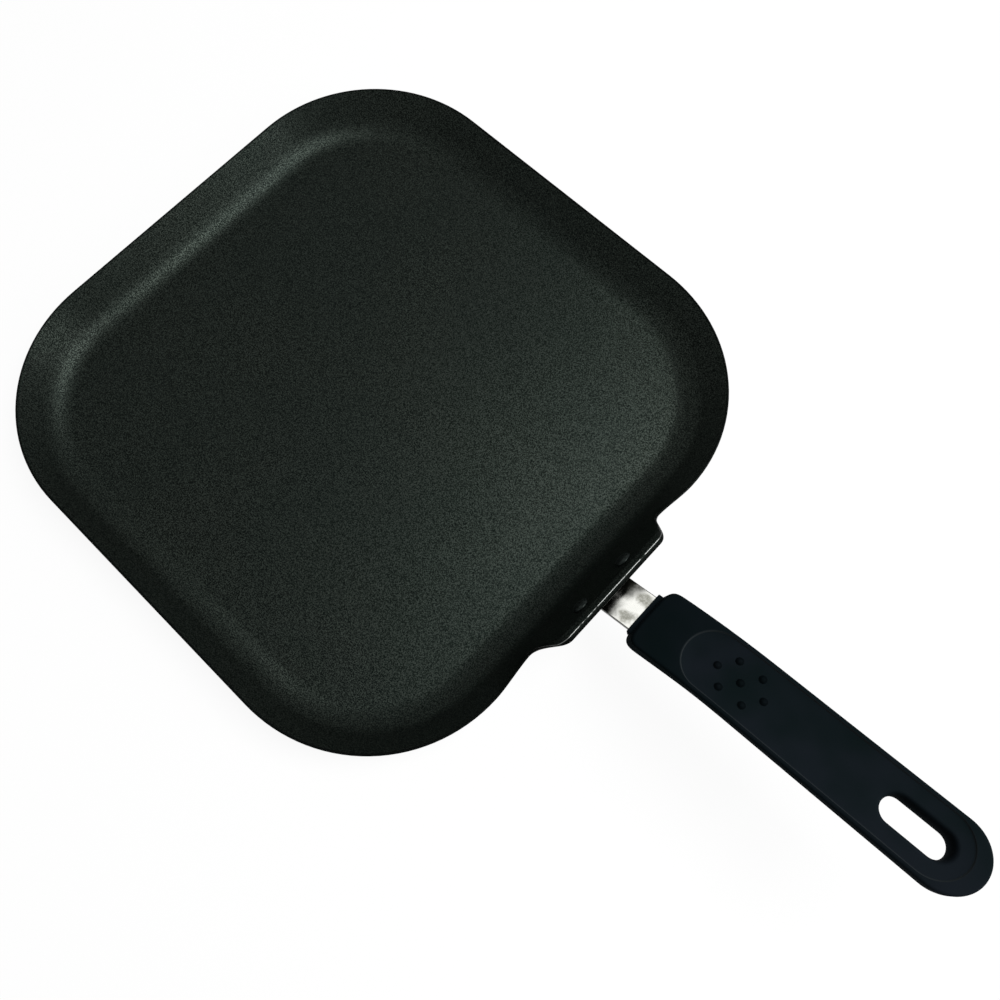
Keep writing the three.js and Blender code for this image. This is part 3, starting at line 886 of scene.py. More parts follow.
    def on_grip(self, plan: Array, up: Array) -> Array:
        """Carries points to the arched grip.

        The middle line is an arc from the start slope to the end slope, then straight. Heights stand
        square to it, and the front face leans so that its foot stands nearer the pan than its brow.

        Args:
            plan: Points along and across.
            up: Heights above the middle line.

        Returns:
            Points in the pan's frame.
        """
        up = np.broadcast_to(up, plan.shape[:-1])
        fade = 1.0 - np.clip(plan[..., 0] / self.rake_reach, 0.0, 1.0)
        along = plan[..., 0] + self.front_rake * up * fade**2
        start, end = math.radians(self.start_slope), math.radians(self.end_slope)
        radius = self.arch_length / (start - end)
        bent = np.minimum(along, self.arch_length)
        slope = start - bent / radius
        ahead = along - bent
        x = radius * (math.sin(start) - np.sin(slope)) + ahead * np.cos(slope) - up * np.sin(slope)
        z = radius * (np.cos(slope) - math.cos(start)) + ahead * np.sin(slope) + up * np.cos(slope)
        return np.stack([x, plan[..., 1], z], axis=-1) + self.mount.tang_axes().origin

    def skin_patch(self) -> Patch:
        """Skins the grip: up the slot's wall, over the panel, its lip and the sides, and back underneath.

        Each row is a loop in plan with a height for each point and a share of the painted highlight along the
        panel's edge. Edges are quarter circles, the slot's wall is two quarter ellipses that meet in its
        waist, and the rows across the panel and the sole are even blends from one loop to the next.

        Returns:
            The closed skin, joined last row to first round the slot's wall, with the shares of painted
            highlight and painted side shade on its vertices.
        """
        rows: list[tuple[Array, Array, float]] = []

        def row(loop: Array, up: Array | float, border: float = 0.0) -> None:
            """Adds a row: its loop, its heights and its share of the painted highlight along the panel's edge.
            """
            rows.append((loop, np.broadcast_to(up, len(loop)), border))

        def shares(steps: int) -> Array:
            """Even shares up to 1, without 0."""
            return np.linspace(0.0, 1.0, steps + 1)[1:]

        quarter = np.linspace(0.0, QUARTER_TURN, self.edge_steps + 1)
        slot, panel = self.slot_loop(self.slot_top_flare), self.panel_loop(self.panel_inset())
        waist = (self.top - self.panel_depth - self.rear_below) / 2.0
        for a in quarter:
            loop = self.slot_loop(self.slot_top_flare * (1.0 - math.cos(a)))
            row(loop, waist + (self.panel_up(slot) - waist) * math.sin(a))
        for t in shares(self.panel_steps):
            loop = slot + (panel - slot) * t
            row(loop, self.panel_up(loop))
        for t in shares(self.bevel_steps):
            # Painted highlight share across the bevel, with a little left on the lip.
            border = math.sin(math.pi * t) ** 0.5 if t < 1.0 else self.highlight_at_lip
            loop = self.panel_loop(self.panel_inset() - self.panel_bevel * t)
            row(loop, self.top - self.panel_depth * (1.0 - smooth(t)), border)
        lip, brow = self.panel_loop(self.panel_inset() - self.panel_bevel), self.outer_loop(self.top_edge)
        for t in self.lip_shares:
            row(lip + (brow - lip) * t, self.top)
        for a in quarter[1:]:
            loop = self.outer_loop(self.top_edge * (1.0 - math.sin(a)))
            row(loop, self.top - self.top_edge * (1.0 - math.cos(a)))
        flank = self.outer_loop(0.0)
        high, low = self.top - self.top_edge, self.bottom_edge - self.below(flank[:, 0])
        for t in shares(self.side_steps)[:-1]:
            row(flank, high + (low - high) * t)
        for a in np.linspace(0.0, QUARTER_TURN, self.sole_edge_steps + 1):
            loop = self.outer_loop(self.bottom_edge * (1.0 - math.cos(a)))
            row(loop, self.bottom_edge * (1.0 - math.sin(a)) - self.below(loop[:, 0]))
        sole, slot_sole = self.outer_loop(self.bottom_edge), self.slot_loop(self.slot_sole_flare)
        for t in shares(self.sole_steps):
            loop = sole + (slot_sole - sole) * t
            row(loop, -self.below(loop[:, 0]))
        for a in quarter[::-1][1:-1]:
            loop = self.slot_loop(self.slot_sole_flare * (1.0 - math.cos(a)))
            row(loop, waist - (waist + self.rear_below) * math.sin(a))
        plan, up, border = (np.stack(column) for column in zip(*rows))
        patch = skin(self.on_grip(plan, up), Closing.RING)
        # Rows past the panel's lip get painted side shade, fading out towards the tip.
        outside = np.arange(len(rows)) > np.flatnonzero(border)[-1]
        fade = smooth((plan[..., 0] - self.length + self.shade_to_tip) / self.shade_fade)
        shown = outside[:, None] * (1.0 - fade)
        patch.values = {"panel_border_highlight": np.repeat(border, plan.shape[1]), "painted_side_shade": shown.ravel()}
        return patch

    def dot_patch(self, along: float, across: float) -> Patch:
        """One raised dot: a bell turned about the panel's normal, (1 - s^2)^1.2 high at share s of the radius.

        Args:
            along: Place of the dot along the grip.
            across: Place of the dot across it.

        Returns:
            The closed dot, sunk a little into the panel.
        """
        share = np.linspace(0.0, 1.0, self.dot_steps + 1)
        radius = np.r_[self.dot_radius * share, self.dot_radius, 0.0]
        height = np.r_[self.dot_height * (1.0 - share**2) ** self.dot_fall, -self.dot_sink, -self.dot_sink]
        local = turned(radius, height, self.dot_columns)
        place = np.array([along, across])
        base = self.panel_up(place)
        plan = place + local[..., :2]
        lean = self.panel_up(plan) - base
        points = self.on_grip(plan, base + local[..., 2] + lean * (local[..., 2] < self.dot_foot))
        patch = skin(points, Closing.POLES)
        # dot_shade is the share of painted shade, least at the dot's middle and most towards its rim.
        share = np.linalg.norm(patch.vertices - self.on_grip(place, base), axis=1) / self.dot_radius
        lightest, darkest = self.dot_shades
        patch.values = {"dot_shade": np.clip(lightest + share, 0.0, darkest)}
        return patch

    def dot_patches(self) -> list[Patch]:
        """The seven dots: three on the middle line and two on each side between them.

        Returns:
            The dots.
        """
        middle = [(k * self.dot_pitch, 0.0) for k in (-1, 0, 1)]
        flanks = [(k * self.dot_pitch, s.value * self.dot_row_step) for s in Side for k in (-0.5, 0.5)]
        return [self.dot_patch(self.dots_from_front + a, c) for a, c in middle + flanks]

    def collar_patch(self) -> Patch:
        """The low collar where the tang goes in: a rounded rectangle carried along the tang, with a mouth.

        The loop is a superellipse of power 8. Rows run along the outside to the front edge, through a
        shallow groove in the front and back inside to the mouth's foot, and the last row joins the first.

        Returns:
            The closed collar.
        """
        wide, high = squarish(self.collar_columns, self.collar_power)
        core = np.array([self.mount.tang_width, self.mount.thickness]) / 2.0
        turn = np.linspace(0.0, QUARTER_TURN, self.collar_steps + 1)
        inset = np.r_[0.0, 0.0, self.collar_edge * (1.0 - np.sin(turn))[::-1]]
        ahead = self.collar_edge * (1.0 - np.cos(turn)) - self.collar_proud
        deep, near = self.collar_depths
        depth = np.r_[deep, near, ahead, -self.collar_proud, near, deep][:, None] + 0.0 * wide
        mouth = np.tile(core + self.mount.clearance, (3, 1))
        half = np.vstack([core + self.collar_wall - inset[:, None], mouth])
        points = np.stack([depth, half[:, :1] * wide, half[:, 1:] * high], axis=-1)
        return skin(self.mount.tang_axes().place(points), Closing.RING)

    def well_patch(self) -> Patch:
        """The cutter for the screw's well: a round plug square to the tang, from below up to the tang.

        Returns:
            The closed plug, in place.
        """
        radius = np.array([0.0, self.well_radius, self.well_radius, 0.0])
        height = np.repeat([-2.0 * self.front_below, -self.well_top], 2)
        points = turned(radius, height, self.well_columns) + [self.mount.screw_from_front, 0.0, 0.0]
        return skin(self.mount.tang_axes().place(points), Closing.POLES)

    def build(self) -> Object:
        """Makes the grip with its well, dots and collar, and dresses it in the moulding's finish.

        Returns:
            The piece.
        """
        body = carved(self.skin_patch().mesh("grip_skin"), self.well_patch().mesh("grip_well"))
        extras = [patch.mesh("grip_extra") for patch in [self.collar_patch(), *self.dot_patches()]]
        mesh = gathered("handle_grip_looks", [body, *extras])
        mesh.set_sharp_from_angle(angle=math.radians(self.crease_angle))
        return place_piece(mesh, "handle_grip", Slot.GRIP, MouldedGrip().material())


@dataclass
class Fixing:
    """The screw, lock washer and threaded insert that hold the tang in the grip."""

    mount: HandleMount
    screw_radius: float = 2.0
    thread_pitch: float = 0.7
    thread_depth: float = 0.25
    head_radius: float = 3.8
    head_height: float = 2.2
    crown_radius: float = 2.9
    head_rim: float = 1.3
    tip_chamfer: float = 0.65
    recess_width: float = 1.2
    recess_length: float = 4.4
    recess_depth: float = 1.4
    washer_radius: float = 3.5
    washer_thickness: float = 1.0
    washer_split: float = 0.8
    insert_radius: float = 3.0
    insert_height: float = 3.2
    groove_depth: float = 0.3
    groove_width: float = 1.4
    groove_flat: float = 0.7
    knurl_depth: float = 0.1
    recess_draft: float = 0.25
    recess_end_draft: float = 0.35
    thread_start: float = 1.5
    thread_runout: float = 1.0
    screw_round: float = 0.3
    insert_round: float = 0.2
    washer_power: float = 0.35
    crease_angle: float = 38.0
    screw_columns: int = 96
    crown_rows: int = 29
    shank_rows: int = 129
    washer_columns: int = 28
    washer_rows: int = 72
    knurl_count: int = 24
    knurl_steps: int = 6

    def axes(self) -> Axes:
        """Axes at the screw, z square to the tang."""
        tang = self.mount.tang_axes()
        return Axes(tang.origin + self.mount.screw_from_front * tang.along, tang.along, tang.up)

    def seat(self) -> float:
        """Height of the washer's upper face, under the tang."""
        return -self.mount.thickness / 2.0 - self.mount.clearance

    def insert_foot(self) -> float:
        """Height of the insert's lower face, above the tang."""
        return self.mount.thickness / 2.0 + 2.0 * self.mount.clearance

    def screw_patch(self) -> Patch:
        """The pan-head screw: a turned head with a cross recess and a shank with a helical thread.

        The crown sinks by the recess depth where |x| or |y| is within half the recess width, eased at the
        walls. The shank's radius falls by the thread depth times a triangle wave of z/pitch - angle/2pi.

        Returns:
            The closed screw, in place.
        """
        head = self.seat() - self.washer_thickness - self.mount.clearance
        tip = self.insert_foot() + self.insert_height - self.mount.clearance
        angle = round_angles(self.screw_columns)
        full = np.ones(self.screw_columns)
        crown_radius = np.linspace(0.0, self.crown_radius, self.crown_rows + 1)[:, None] * full
        x, y = np.abs(crown_radius * np.cos(angle)), np.abs(crown_radius * np.sin(angle))
        wall = smooth((self.recess_width / 2.0 - np.minimum(x, y)) / self.recess_draft + 0.5)
        stop = smooth((self.recess_length / 2.0 - np.maximum(x, y)) / self.recess_end_draft + 0.5)
        crown = head - self.head_height + self.recess_depth * wall * stop
        corners = [
            (self.crown_radius, head - self.head_height),
            (self.head_radius, head - self.head_rim),
            (self.head_radius, head),
            (self.screw_radius, head),
        ]
        side = softened(corners, self.screw_round)[1:]
        level = np.linspace(head, tip - self.tip_chamfer, self.shank_rows + 1)[1:, None]
        wave = triangle_wave(level / self.thread_pitch - angle / FULL_TURN)
        start = smooth((level - (self.seat() + self.thread_start)) / self.thread_runout)
        shank = self.screw_radius - self.thread_depth * wave * start
        point = (self.screw_radius - self.tip_chamfer) * full
        radius = np.vstack([crown_radius, side[:, :1] * full, shank, point, 0.0 * full])
        height = np.vstack([crown, side[:, 1:] * full, level * full, tip * full, tip * full])
        return skin(self.axes().place(turned(radius, height, self.screw_columns)), Closing.POLES)

    def washer_patch(self) -> Patch:
        """The split washer: a rounded rectangle carried round an arc that stops short at the split.

        Returns:
            The closed washer, in place, with its two ends capped at their middles.
        """
        inner = self.screw_radius + self.mount.clearance
        middle = (inner + self.washer_radius) / 2.0
        half = np.array([(self.washer_radius - inner) / 2.0, self.washer_thickness / 2.0])
        side, high = squarish(self.washer_columns, self.washer_power)
        gap = math.asin(self.washer_split / 2.0 / middle)
        along = np.linspace(gap, FULL_TURN - gap, self.washer_rows)
        along = np.r_[along[0], along, along[-1]]
        share = np.ones(len(along))
        share[[0, -1]] = 0.0
        radius = middle + share[:, None] * side * half[0]
        level = self.seat() - self.washer_thickness / 2.0 + share[:, None] * high * half[1]
        across, ahead = np.cos(along)[:, None], np.sin(along)[:, None]
        points = np.stack([radius * across, radius * ahead, level], axis=-1)
        return skin(self.axes().place(points), Closing.POLES)

    def insert_patch(self) -> Patch:
        """The brass insert: a turned sleeve with a plain groove between two bands of straight knurling.

        In the bands the radius falls by up to the knurl's depth with a triangle wave round the sleeve.

        Returns:
            The closed sleeve, in place.
        """
        inner, outer = self.screw_radius + self.mount.clearance, self.insert_radius
        foot, waist = self.insert_foot(), outer - self.groove_depth
        top = foot + self.insert_height
        middle = (foot + top) / 2.0
        wide, flat = self.groove_width / 2.0, self.groove_flat / 2.0
        corners = [
            (inner, middle), (inner, foot), (outer, foot), (outer, middle - wide), (waist, middle - flat),
            (waist, middle + flat), (outer, middle + wide), (outer, top), (inner, top), (inner, middle),
        ]
        profile = softened(corners, self.insert_round)[:-1]
        steps = self.knurl_count * self.knurl_steps
        wave = triangle_wave(round_angles(steps) * self.knurl_count / FULL_TURN)
        band = smooth((profile[:, :1] - waist) / self.groove_depth)
        radius = profile[:, :1] - self.knurl_depth * wave * band
        return skin(self.axes().place(turned(radius, profile[:, 1:], steps)), Closing.RING)

    def build(self) -> list[Object]:
        """Makes the three pieces and dresses them in steel and brass.

        Returns:
            The pieces.
        """
        steel, brass = TurnedMetal.steel().material(), TurnedMetal.brass().material()
        plans = [
            ("handle_screw", self.screw_patch(), Slot.SCREW, steel),
            ("lock_washer", self.washer_patch(), Slot.SCREW, steel),
            ("threaded_insert", self.insert_patch(), Slot.BRASS, brass),
        ]
        pieces = []
        for node, patch, slot, finish in plans:
            mesh = patch.mesh(f"{node}_looks")
            mesh.set_sharp_from_angle(angle=math.radians(self.crease_angle))
            pieces.append(place_piece(mesh, node, slot, finish))
        return pieces


def drop_loose_points(mesh: Mesh) -> None:
    """Removes the points of a mesh that no face uses.

    Args:
        mesh: The mesh to clean.
    """
    work = bmesh.new()
    work.from_mesh(mesh)
    bmesh.ops.delete(work, geom=[v for v in work.verts if not v.link_faces], context="VERTS")
    work.to_mesh(mesh)
    work.free()


def carved(body: Mesh, cutter: Mesh) -> Mesh:
    """Cuts one closed mesh out of another with an exact Boolean.

    Args:
        body: The mesh that is cut.
        cutter: The mesh that is taken away.

    Returns:
        The cut mesh; both of the others are removed.
    """
    scene = bpy.context.scene.collection
    holder, tool = (bpy.data.objects.new(data.name, data) for data in (body, cutter))
    for item in (holder, tool):
        scene.objects.link(item)
    cut = holder.modifiers.new("cut", "BOOLEAN")
    cut.operation = "DIFFERENCE"
    cut.solver = "EXACT"
    cut.object = tool
    depsgraph = bpy.context.evaluated_depsgraph_get()
    result = bpy.data.meshes.new_from_object(holder.evaluated_get(depsgraph))
    for item in (holder, tool):
        bpy.data.objects.remove(item)
    for data in (body, cutter):
        bpy.data.meshes.remove(data)
    return result


def gathered(name: str, meshes: Sequence[Mesh]) -> Mesh:
    """Gathers several meshes into one.

    Args:
        name: Name of the new mesh.
        meshes: The meshes, which are removed.

    Returns:
        The gathered mesh, smooth shaded.
    """
    work = bmesh.new()
    for mesh in meshes:
        work.from_mesh(mesh)
    result = bpy.data.meshes.new(name)
    work.to_mesh(result)
    work.free()
    for mesh in meshes:
        bpy.data.meshes.remove(mesh)
    result.polygons.foreach_set("use_smooth", np.ones(len(result.polygons), bool))
    return result


def place_piece(mesh: Mesh, node: str, slot: Slot, *finishes: Material) -> Object:
    """Puts a mesh into the scene as the visible form of a CAD node, riding on the pan's one body.

    Args:
        mesh: The mesh, already in place. The piece takes its name.
        node: The node that it stands for.
        slot: The record's material slot; not used.
        finishes: Its materials, in the order of its faces' material indices.

    Returns:
        The object.
    """
    piece = bpy.data.objects.new(mesh.name, mesh)
    bpy.context.scene.collection.objects.link(piece)
    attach(piece, "root")
    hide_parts(node)
    mesh.materials.clear()
    for finish in finishes:
        mesh.materials.append(finish)
    return piece


class Nodes:
    """Places and joins the nodes of one shader tree."""

    def __init__(self, tree: bpy.types.NodeTree) -> None:
        """Keeps the tree.

        Args:
            tree: The tree of a material, a world or a group.
        """
        self.tree = tree

    def add(self, kind: str, **settings: object) -> bpy.types.Node:
        """Adds a node and sets its properties and its unlinked inputs.

        Args:
            kind: The node's type.
            settings: Properties by name, and inputs by name where the node has no such property.

        Returns:
            The node.
        """
        node = self.tree.nodes.new(kind)
        for key, value in settings.items():
            if hasattr(node, key):
                setattr(node, key, value)
        for key, value in settings.items():
            if not hasattr(node, key):
                node.inputs[key.replace("_", " ")].default_value = value
        return node

    def link(self, source: Socket, target: Socket) -> None:
        """Joins an output to an input."""
        self.tree.links.new(source, target)

    def put(self, value: object, target: Socket) -> None:
        """Joins an output to an input, or sets the input to a plain value.

        Args:
            value: The output or the value.
            target: The input.
        """
        if isinstance(value, Socket):
            self.link(value, target)
        else:
            target.default_value = value

    def math(self, operation: str, *values: Socket | float) -> Socket:
        """Adds a Math node on one or two sockets or numbers.

        Args:
            operation: What it does.
            values: Its one or two values.

        Returns:
            Its output.
        """
        node = self.add("ShaderNodeMath", operation=operation)
        for value, socket in zip(values, node.inputs):
            self.put(value, socket)
        return node.outputs[0]

    def times(self, first: Socket | float, second: Socket | float) -> Socket:
        """Multiplies two values."""
        return self.math("MULTIPLY", first, second)

    def spread(self, value: Socket, low: float, high: float, to: Pair = (0.0, 1.0)) -> Socket:
        """Maps a range of values smoothly onto another, held at its ends.

        Args:
            value: The value to map.
            low: Value at the start of the new range.
            high: Value at its end.
            to: The new range.

        Returns:
            The mapped value.
        """
        node = self.add("ShaderNodeMapRange", interpolation_type="SMOOTHSTEP")
        self.link(value, node.inputs["Value"])
        for name, number in zip(("From Min", "From Max", "To Min", "To Max"), (low, high, *to)):
            node.inputs[name].default_value = number
        return node.outputs["Result"]

    def mix(self, share: Socket, first: Socket | Colour, second: Socket | Colour) -> Socket:
        """Mixes two colours, by the share of the second.

        Args:
            share: How much of the second.
            first: A colour or a colour socket.
            second: A colour or a colour socket.

        Returns:
            The mixed colour.
        """
        node = self.add("ShaderNodeMix", data_type="RGBA")
        self.link(share, node.inputs[0])
        for value, socket in ((first, node.inputs[6]), (second, node.inputs[7])):
            self.put(value if isinstance(value, Socket) else (*value, 1.0), socket)
        return node.outputs[2]

    def attribute(self, name: str) -> Socket:
        """The number that a piece's vertices carry under a name."""
        return self.add("ShaderNodeAttribute", attribute_name=name).outputs["Fac"]

    def coords(self, stretch: Point = (1.0, 1.0, 1.0), turn: float = 0.0) -> Socket:
        """The piece's own Object coordinates, stretched and turned about y.

        Args:
            stretch: Scale along each axis.
            turn: Angle about y in degrees.

        Returns:
            The vector.
        """
        source = self.add("ShaderNodeTexCoord").outputs["Object"]
        if stretch == (1.0, 1.0, 1.0) and turn == 0.0:
            return source
        mapping = self.add("ShaderNodeMapping")
        mapping.inputs["Rotation"].default_value = (0.0, math.radians(turn), 0.0)
        mapping.inputs["Scale"].default_value = stretch
        self.link(source, mapping.inputs["Vector"])
        return mapping.outputs["Vector"]

    def noise(self, vector: Socket, size: float, detail: float = 2.0, roughness: float = 0.5) -> Socket:
        """A noise whose blobs are about the given size in millimetres.

        Args:
            vector: Coordinates in metres.
            size: Size of the blobs.
            detail: Octaves.
            roughness: Share of each finer octave.

        Returns:
            The noise, from 0 to 1 about 0.5.
        """
        node = self.add("ShaderNodeTexNoise", Scale=1.0 / (size * MM), Detail=detail, Roughness=roughness)
        self.link(vector, node.inputs["Vector"])
        return node.outputs[0]

    def group(self, tree: bpy.types.NodeTree, **values: Socket | float) -> dict[str, Socket]:
        """Places a group with its own values.

        Args:
            tree: The group.
            values: Numbers or sockets by input name, with underscores for spaces.

        Returns:
            The group's output sockets by name.
        """
        node = self.add("ShaderNodeGroup", node_tree=tree)
        for key, value in values.items():
            self.put(value, node.inputs[key.replace("_", " ")])
        return {socket.name: socket for socket in node.outputs}


class Surface(Nodes):
    """A new material on a Principled shader."""

    def __init__(self, name: str, **constants: object) -> None:
        """Starts the material.

        Args:
            name: Name of the material.
            constants: Values of the shader's sockets by name, with underscores for spaces.
        """
        self.material = bpy.data.materials.new(name)
        self.material.use_nodes = True
        super().__init__(self.material.node_tree)
        self.shader = self.tree.nodes["Principled BSDF"]
        self.feed(**constants)

    def feed(self, **values: object) -> None:
        """Sets or joins the shader's sockets by name, with underscores for spaces."""
        for key, value in values.items():
            self.put(value, self.shader.inputs[key.replace("_", " ")])

    def bump(self, height: Socket, strength: float, depth: float) -> None:
        """Feeds a height to the shader's normal.

        Args:
            height: Height from 0 to 1.
            strength: Share of the bump.
            depth: Height of the relief in millimetres.
        """
        bump = self.add("ShaderNodeBump", Strength=strength, Distance=depth * MM)
        self.link(height, bump.inputs["Height"])
        self.feed(Normal=bump.outputs["Normal"])


GroupParts = tuple[bpy.types.NodeTree, Nodes, dict[str, Socket], dict[str, Socket]]


def new_group(name: str, inputs: dict[str, float], outputs: Sequence[str]) -> GroupParts:
    """Starts a shader node group with number sockets.

    Args:
        name: Name of the group.
        inputs: Input names with their defaults.
        outputs: Output names.

    Returns:
        The group, its node helper, its input sockets by name and its output sockets by name.
    """
    tree = bpy.data.node_groups.new(name, "ShaderNodeTree")
    for key, value in inputs.items():
        tree.interface.new_socket(key, in_out="INPUT", socket_type="NodeSocketFloat").default_value = value
    for key in outputs:
        tree.interface.new_socket(key, in_out="OUTPUT", socket_type="NodeSocketFloat")
    nodes = Nodes(tree)
    start, end = nodes.add("NodeGroupInput"), nodes.add("NodeGroupOutput")
    return tree, nodes, {s.name: s for s in start.outputs}, {s.name: s for s in end.inputs}


def speckle_group() -> bpy.types.NodeTree:
    """The coating's fine grain: two octaves of tiny noise and a slow cloud, as a share and a height.

    Returns:
        The group.
    """
    known = bpy.data.node_groups.get("fine_grain")
    if known:
        return known
    tree, nodes, given, result = new_group(
        "fine_grain", {"Grain per metre": 1300.0, "Cloud per metre": 22.0}, ("Grain", "Cloud", "Height")
    )
    where = nodes.coords()
    grain = nodes.add("ShaderNodeTexNoise", Detail=2.0, Roughness=0.6)
    cloud = nodes.add("ShaderNodeTexNoise", Detail=2.0, Roughness=0.5)
    for node, scale in ((grain, "Grain per metre"), (cloud, "Cloud per metre")):
        nodes.link(where, node.inputs["Vector"])
        nodes.link(given[scale], node.inputs["Scale"])
    nodes.link(nodes.spread(grain.outputs[0], 0.38, 0.70), result["Grain"])
    nodes.link(nodes.spread(cloud.outputs[0], *MOST), result["Cloud"])
    nodes.link(grain.outputs[0], result["Height"])
    return tree


def rub_group() -> bpy.types.NodeTree:
    """Wear along an edge: a line at a given distance from it, broken up by noise along its length.

    Returns:
        The group.
    """
    known = bpy.data.node_groups.get("rubbed_edge")
    if known:
        return known
    tree, nodes, given, result = new_group(
        "rubbed_edge",
        {"Distance": 0.0, "Line": 1.0, "Half width": 0.3, "Break": 0.5, "Break per metre": 160.0},
        ("Mask",),
    )
    off = nodes.math("ABSOLUTE", nodes.math("SUBTRACT", given["Distance"], given["Line"]))
    share = nodes.math("DIVIDE", off, given["Half width"])
    line = nodes.spread(share, 1.15, 0.55)
    breaks = nodes.add("ShaderNodeTexNoise", Detail=4.0, Roughness=0.65)
    nodes.link(nodes.coords(), breaks.inputs["Vector"])
    nodes.link(given["Break per metre"], breaks.inputs["Scale"])
    over = nodes.math("SUBTRACT", breaks.outputs[0], given["Break"])
    kept = nodes.spread(over, -0.03, 0.06)
    nodes.link(nodes.times(line, kept), result["Mask"])
    return tree


@dataclass(frozen=True)
class NonstickCoating:
    """Dark charcoal coating with a fine metallic grain, rubbed to bare steel along the ear's edge, with
    painted shade inside and past the ear's crest and along the rim's edge.

    Attributes:
        dark: Between the grains.
        light: On the grains.
        cool: Tint of the slow clouds.
        bare: Rubbed steel.
        edge: Painted shade close inside the ear's crest and on the rim past the crest.
        tint: Share of the cool tint.
        metal_share: Metallic share of the coating.
        rough: Roughness between the grains and on them.
        worn_from: Shares of the ear between which the crest starts to wear.
        lip_shade_reach: Distances inside the crest between which the painted shade comes in.
        lip_shade_share: How much painted shade there is there.
        lip_shade_from: Shares of the ear between which the painted shade starts.
        past_crest: Distances past the crest between which the painted shade comes in.
        rim_shade_share: How much painted shade there is past the crest.
    """

    dark: Colour = (0.0017, 0.0027, 0.0022)
    light: Colour = (0.0245, 0.0305, 0.0258)
    cool: Colour = (0.0042, 0.0080, 0.0074)
    bare: Colour = (0.13, 0.134, 0.13)
    edge: Colour = (0.0008, 0.0012, 0.0010)
    tint: float = 0.15
    metal_share: float = 0.75
    rough: Pair = (0.46, 0.36)
    worn_from: Pair = (0.93, 1.0)
    lip_shade_reach: Pair = (4.5, 0.6)
    lip_shade_share: float = 0.6
    lip_shade_from: Pair = (0.6, 0.95)
    past_crest: Pair = (-0.1, -0.4)
    rim_shade_share: float = 0.9

    def material(self) -> Material:
        """Builds the material.

        Returns:
            The material.
        """
        surface = Surface("nonstick_coating", Specular_IOR_Level=0.05, Specular_Tint=(0.8, 0.8, 0.8, 1.0))
        grain = surface.group(speckle_group(), Grain_per_metre=1900.0, Cloud_per_metre=12.0)
        colour = surface.mix(grain["Grain"], self.dark, self.light)
        colour = surface.mix(surface.times(grain["Cloud"], self.tint), colour, self.cool)
        crest, ear = surface.attribute("crest_distance"), surface.attribute("ear_share")
        line = {"Distance": crest, "Line": 0.0, "Half_width": 0.15, "Break": 0.38, "Break_per_metre": 150.0}
        rub = surface.group(rub_group(), **line)["Mask"]
        worn = surface.times(rub, surface.spread(ear, *self.worn_from))
        # Painted shade: darker inside the ear's crest, and past the crest on the ear's rolled lip and along
        # the rim's edge.
        near = surface.spread(crest, *self.lip_shade_reach, (0.0, self.lip_shade_share))
        colour = surface.mix(surface.times(near, surface.spread(ear, *self.lip_shade_from)), colour, self.edge)
        past = surface.spread(crest, *self.past_crest, (0.0, self.rim_shade_share))
        colour = surface.mix(past, colour, self.edge)
        surface.feed(
            Base_Color=surface.mix(worn, colour, self.bare),
            Metallic=surface.spread(worn, 0.0, 1.0, (self.metal_share, 1.0)),
            Roughness=surface.spread(grain["Grain"], 0.0, 1.0, self.rough),
        )
        surface.bump(grain["Height"], 0.4, 0.06)
        return surface.material


@dataclass(frozen=True)
class OuterEnamel:
    """Black enamel on the outside, with a soft ripple and a rubbed ring where the pan stands."""

    colour: Colour = (0.0075, 0.0082, 0.0085)
    faded: Colour = (0.0130, 0.0140, 0.0140)
    rubbed: Colour = (0.060, 0.062, 0.062)
    rough: Pair = (0.36, 0.48)
    rubbed_share: float = 0.5
    cloud_size: float = 28.0
    ripple_size: float = 1.6

    def material(self) -> Material:
        """Builds the material.

        Returns:
            The material.
        """
        surface = Surface("outer_enamel", Specular_IOR_Level=0.25)
        where = surface.coords()
        cloud = surface.noise(where, self.cloud_size, 3.0)
        colour = surface.mix(surface.spread(cloud, *UPPER), self.colour, self.faded)
        split = surface.add("ShaderNodeSeparateXYZ")
        surface.link(where, split.inputs[0])
        low = surface.math("DIVIDE", split.outputs["Z"], MM)
        line = {"Distance": low, "Line": 0.0, "Half_width": 0.5, "Break": 0.56, "Break_per_metre": 55.0}
        rub = surface.group(rub_group(), **line)["Mask"]
        surface.feed(
            Base_Color=surface.mix(surface.times(rub, self.rubbed_share), colour, self.rubbed),
            Roughness=surface.spread(cloud, *MOST, self.rough),
        )
        surface.bump(surface.noise(where, self.ripple_size, 2.0), 0.12, 0.05)
        return surface.material


@dataclass(frozen=True)
class RivetCoating:
    """The same dark coating on the rivets, smoother."""

    dark: Colour = (0.0055, 0.0080, 0.0075)
    light: Colour = (0.0160, 0.0205, 0.0190)
    rough: Pair = (0.25, 0.38)

    def material(self) -> Material:
        """Builds the material.

        Returns:
            The material.
        """
        surface = Surface("rivet_coating", Metallic=0.5, Specular_IOR_Level=0.1)
        grain = surface.group(speckle_group(), Grain_per_metre=1100.0, Cloud_per_metre=400.0)
        surface.feed(
            Base_Color=surface.mix(grain["Grain"], self.dark, self.light),
            Roughness=surface.spread(grain["Cloud"], 0.0, 1.0, self.rough),
        )
        surface.bump(grain["Height"], 0.15, 0.05)
        return surface.material


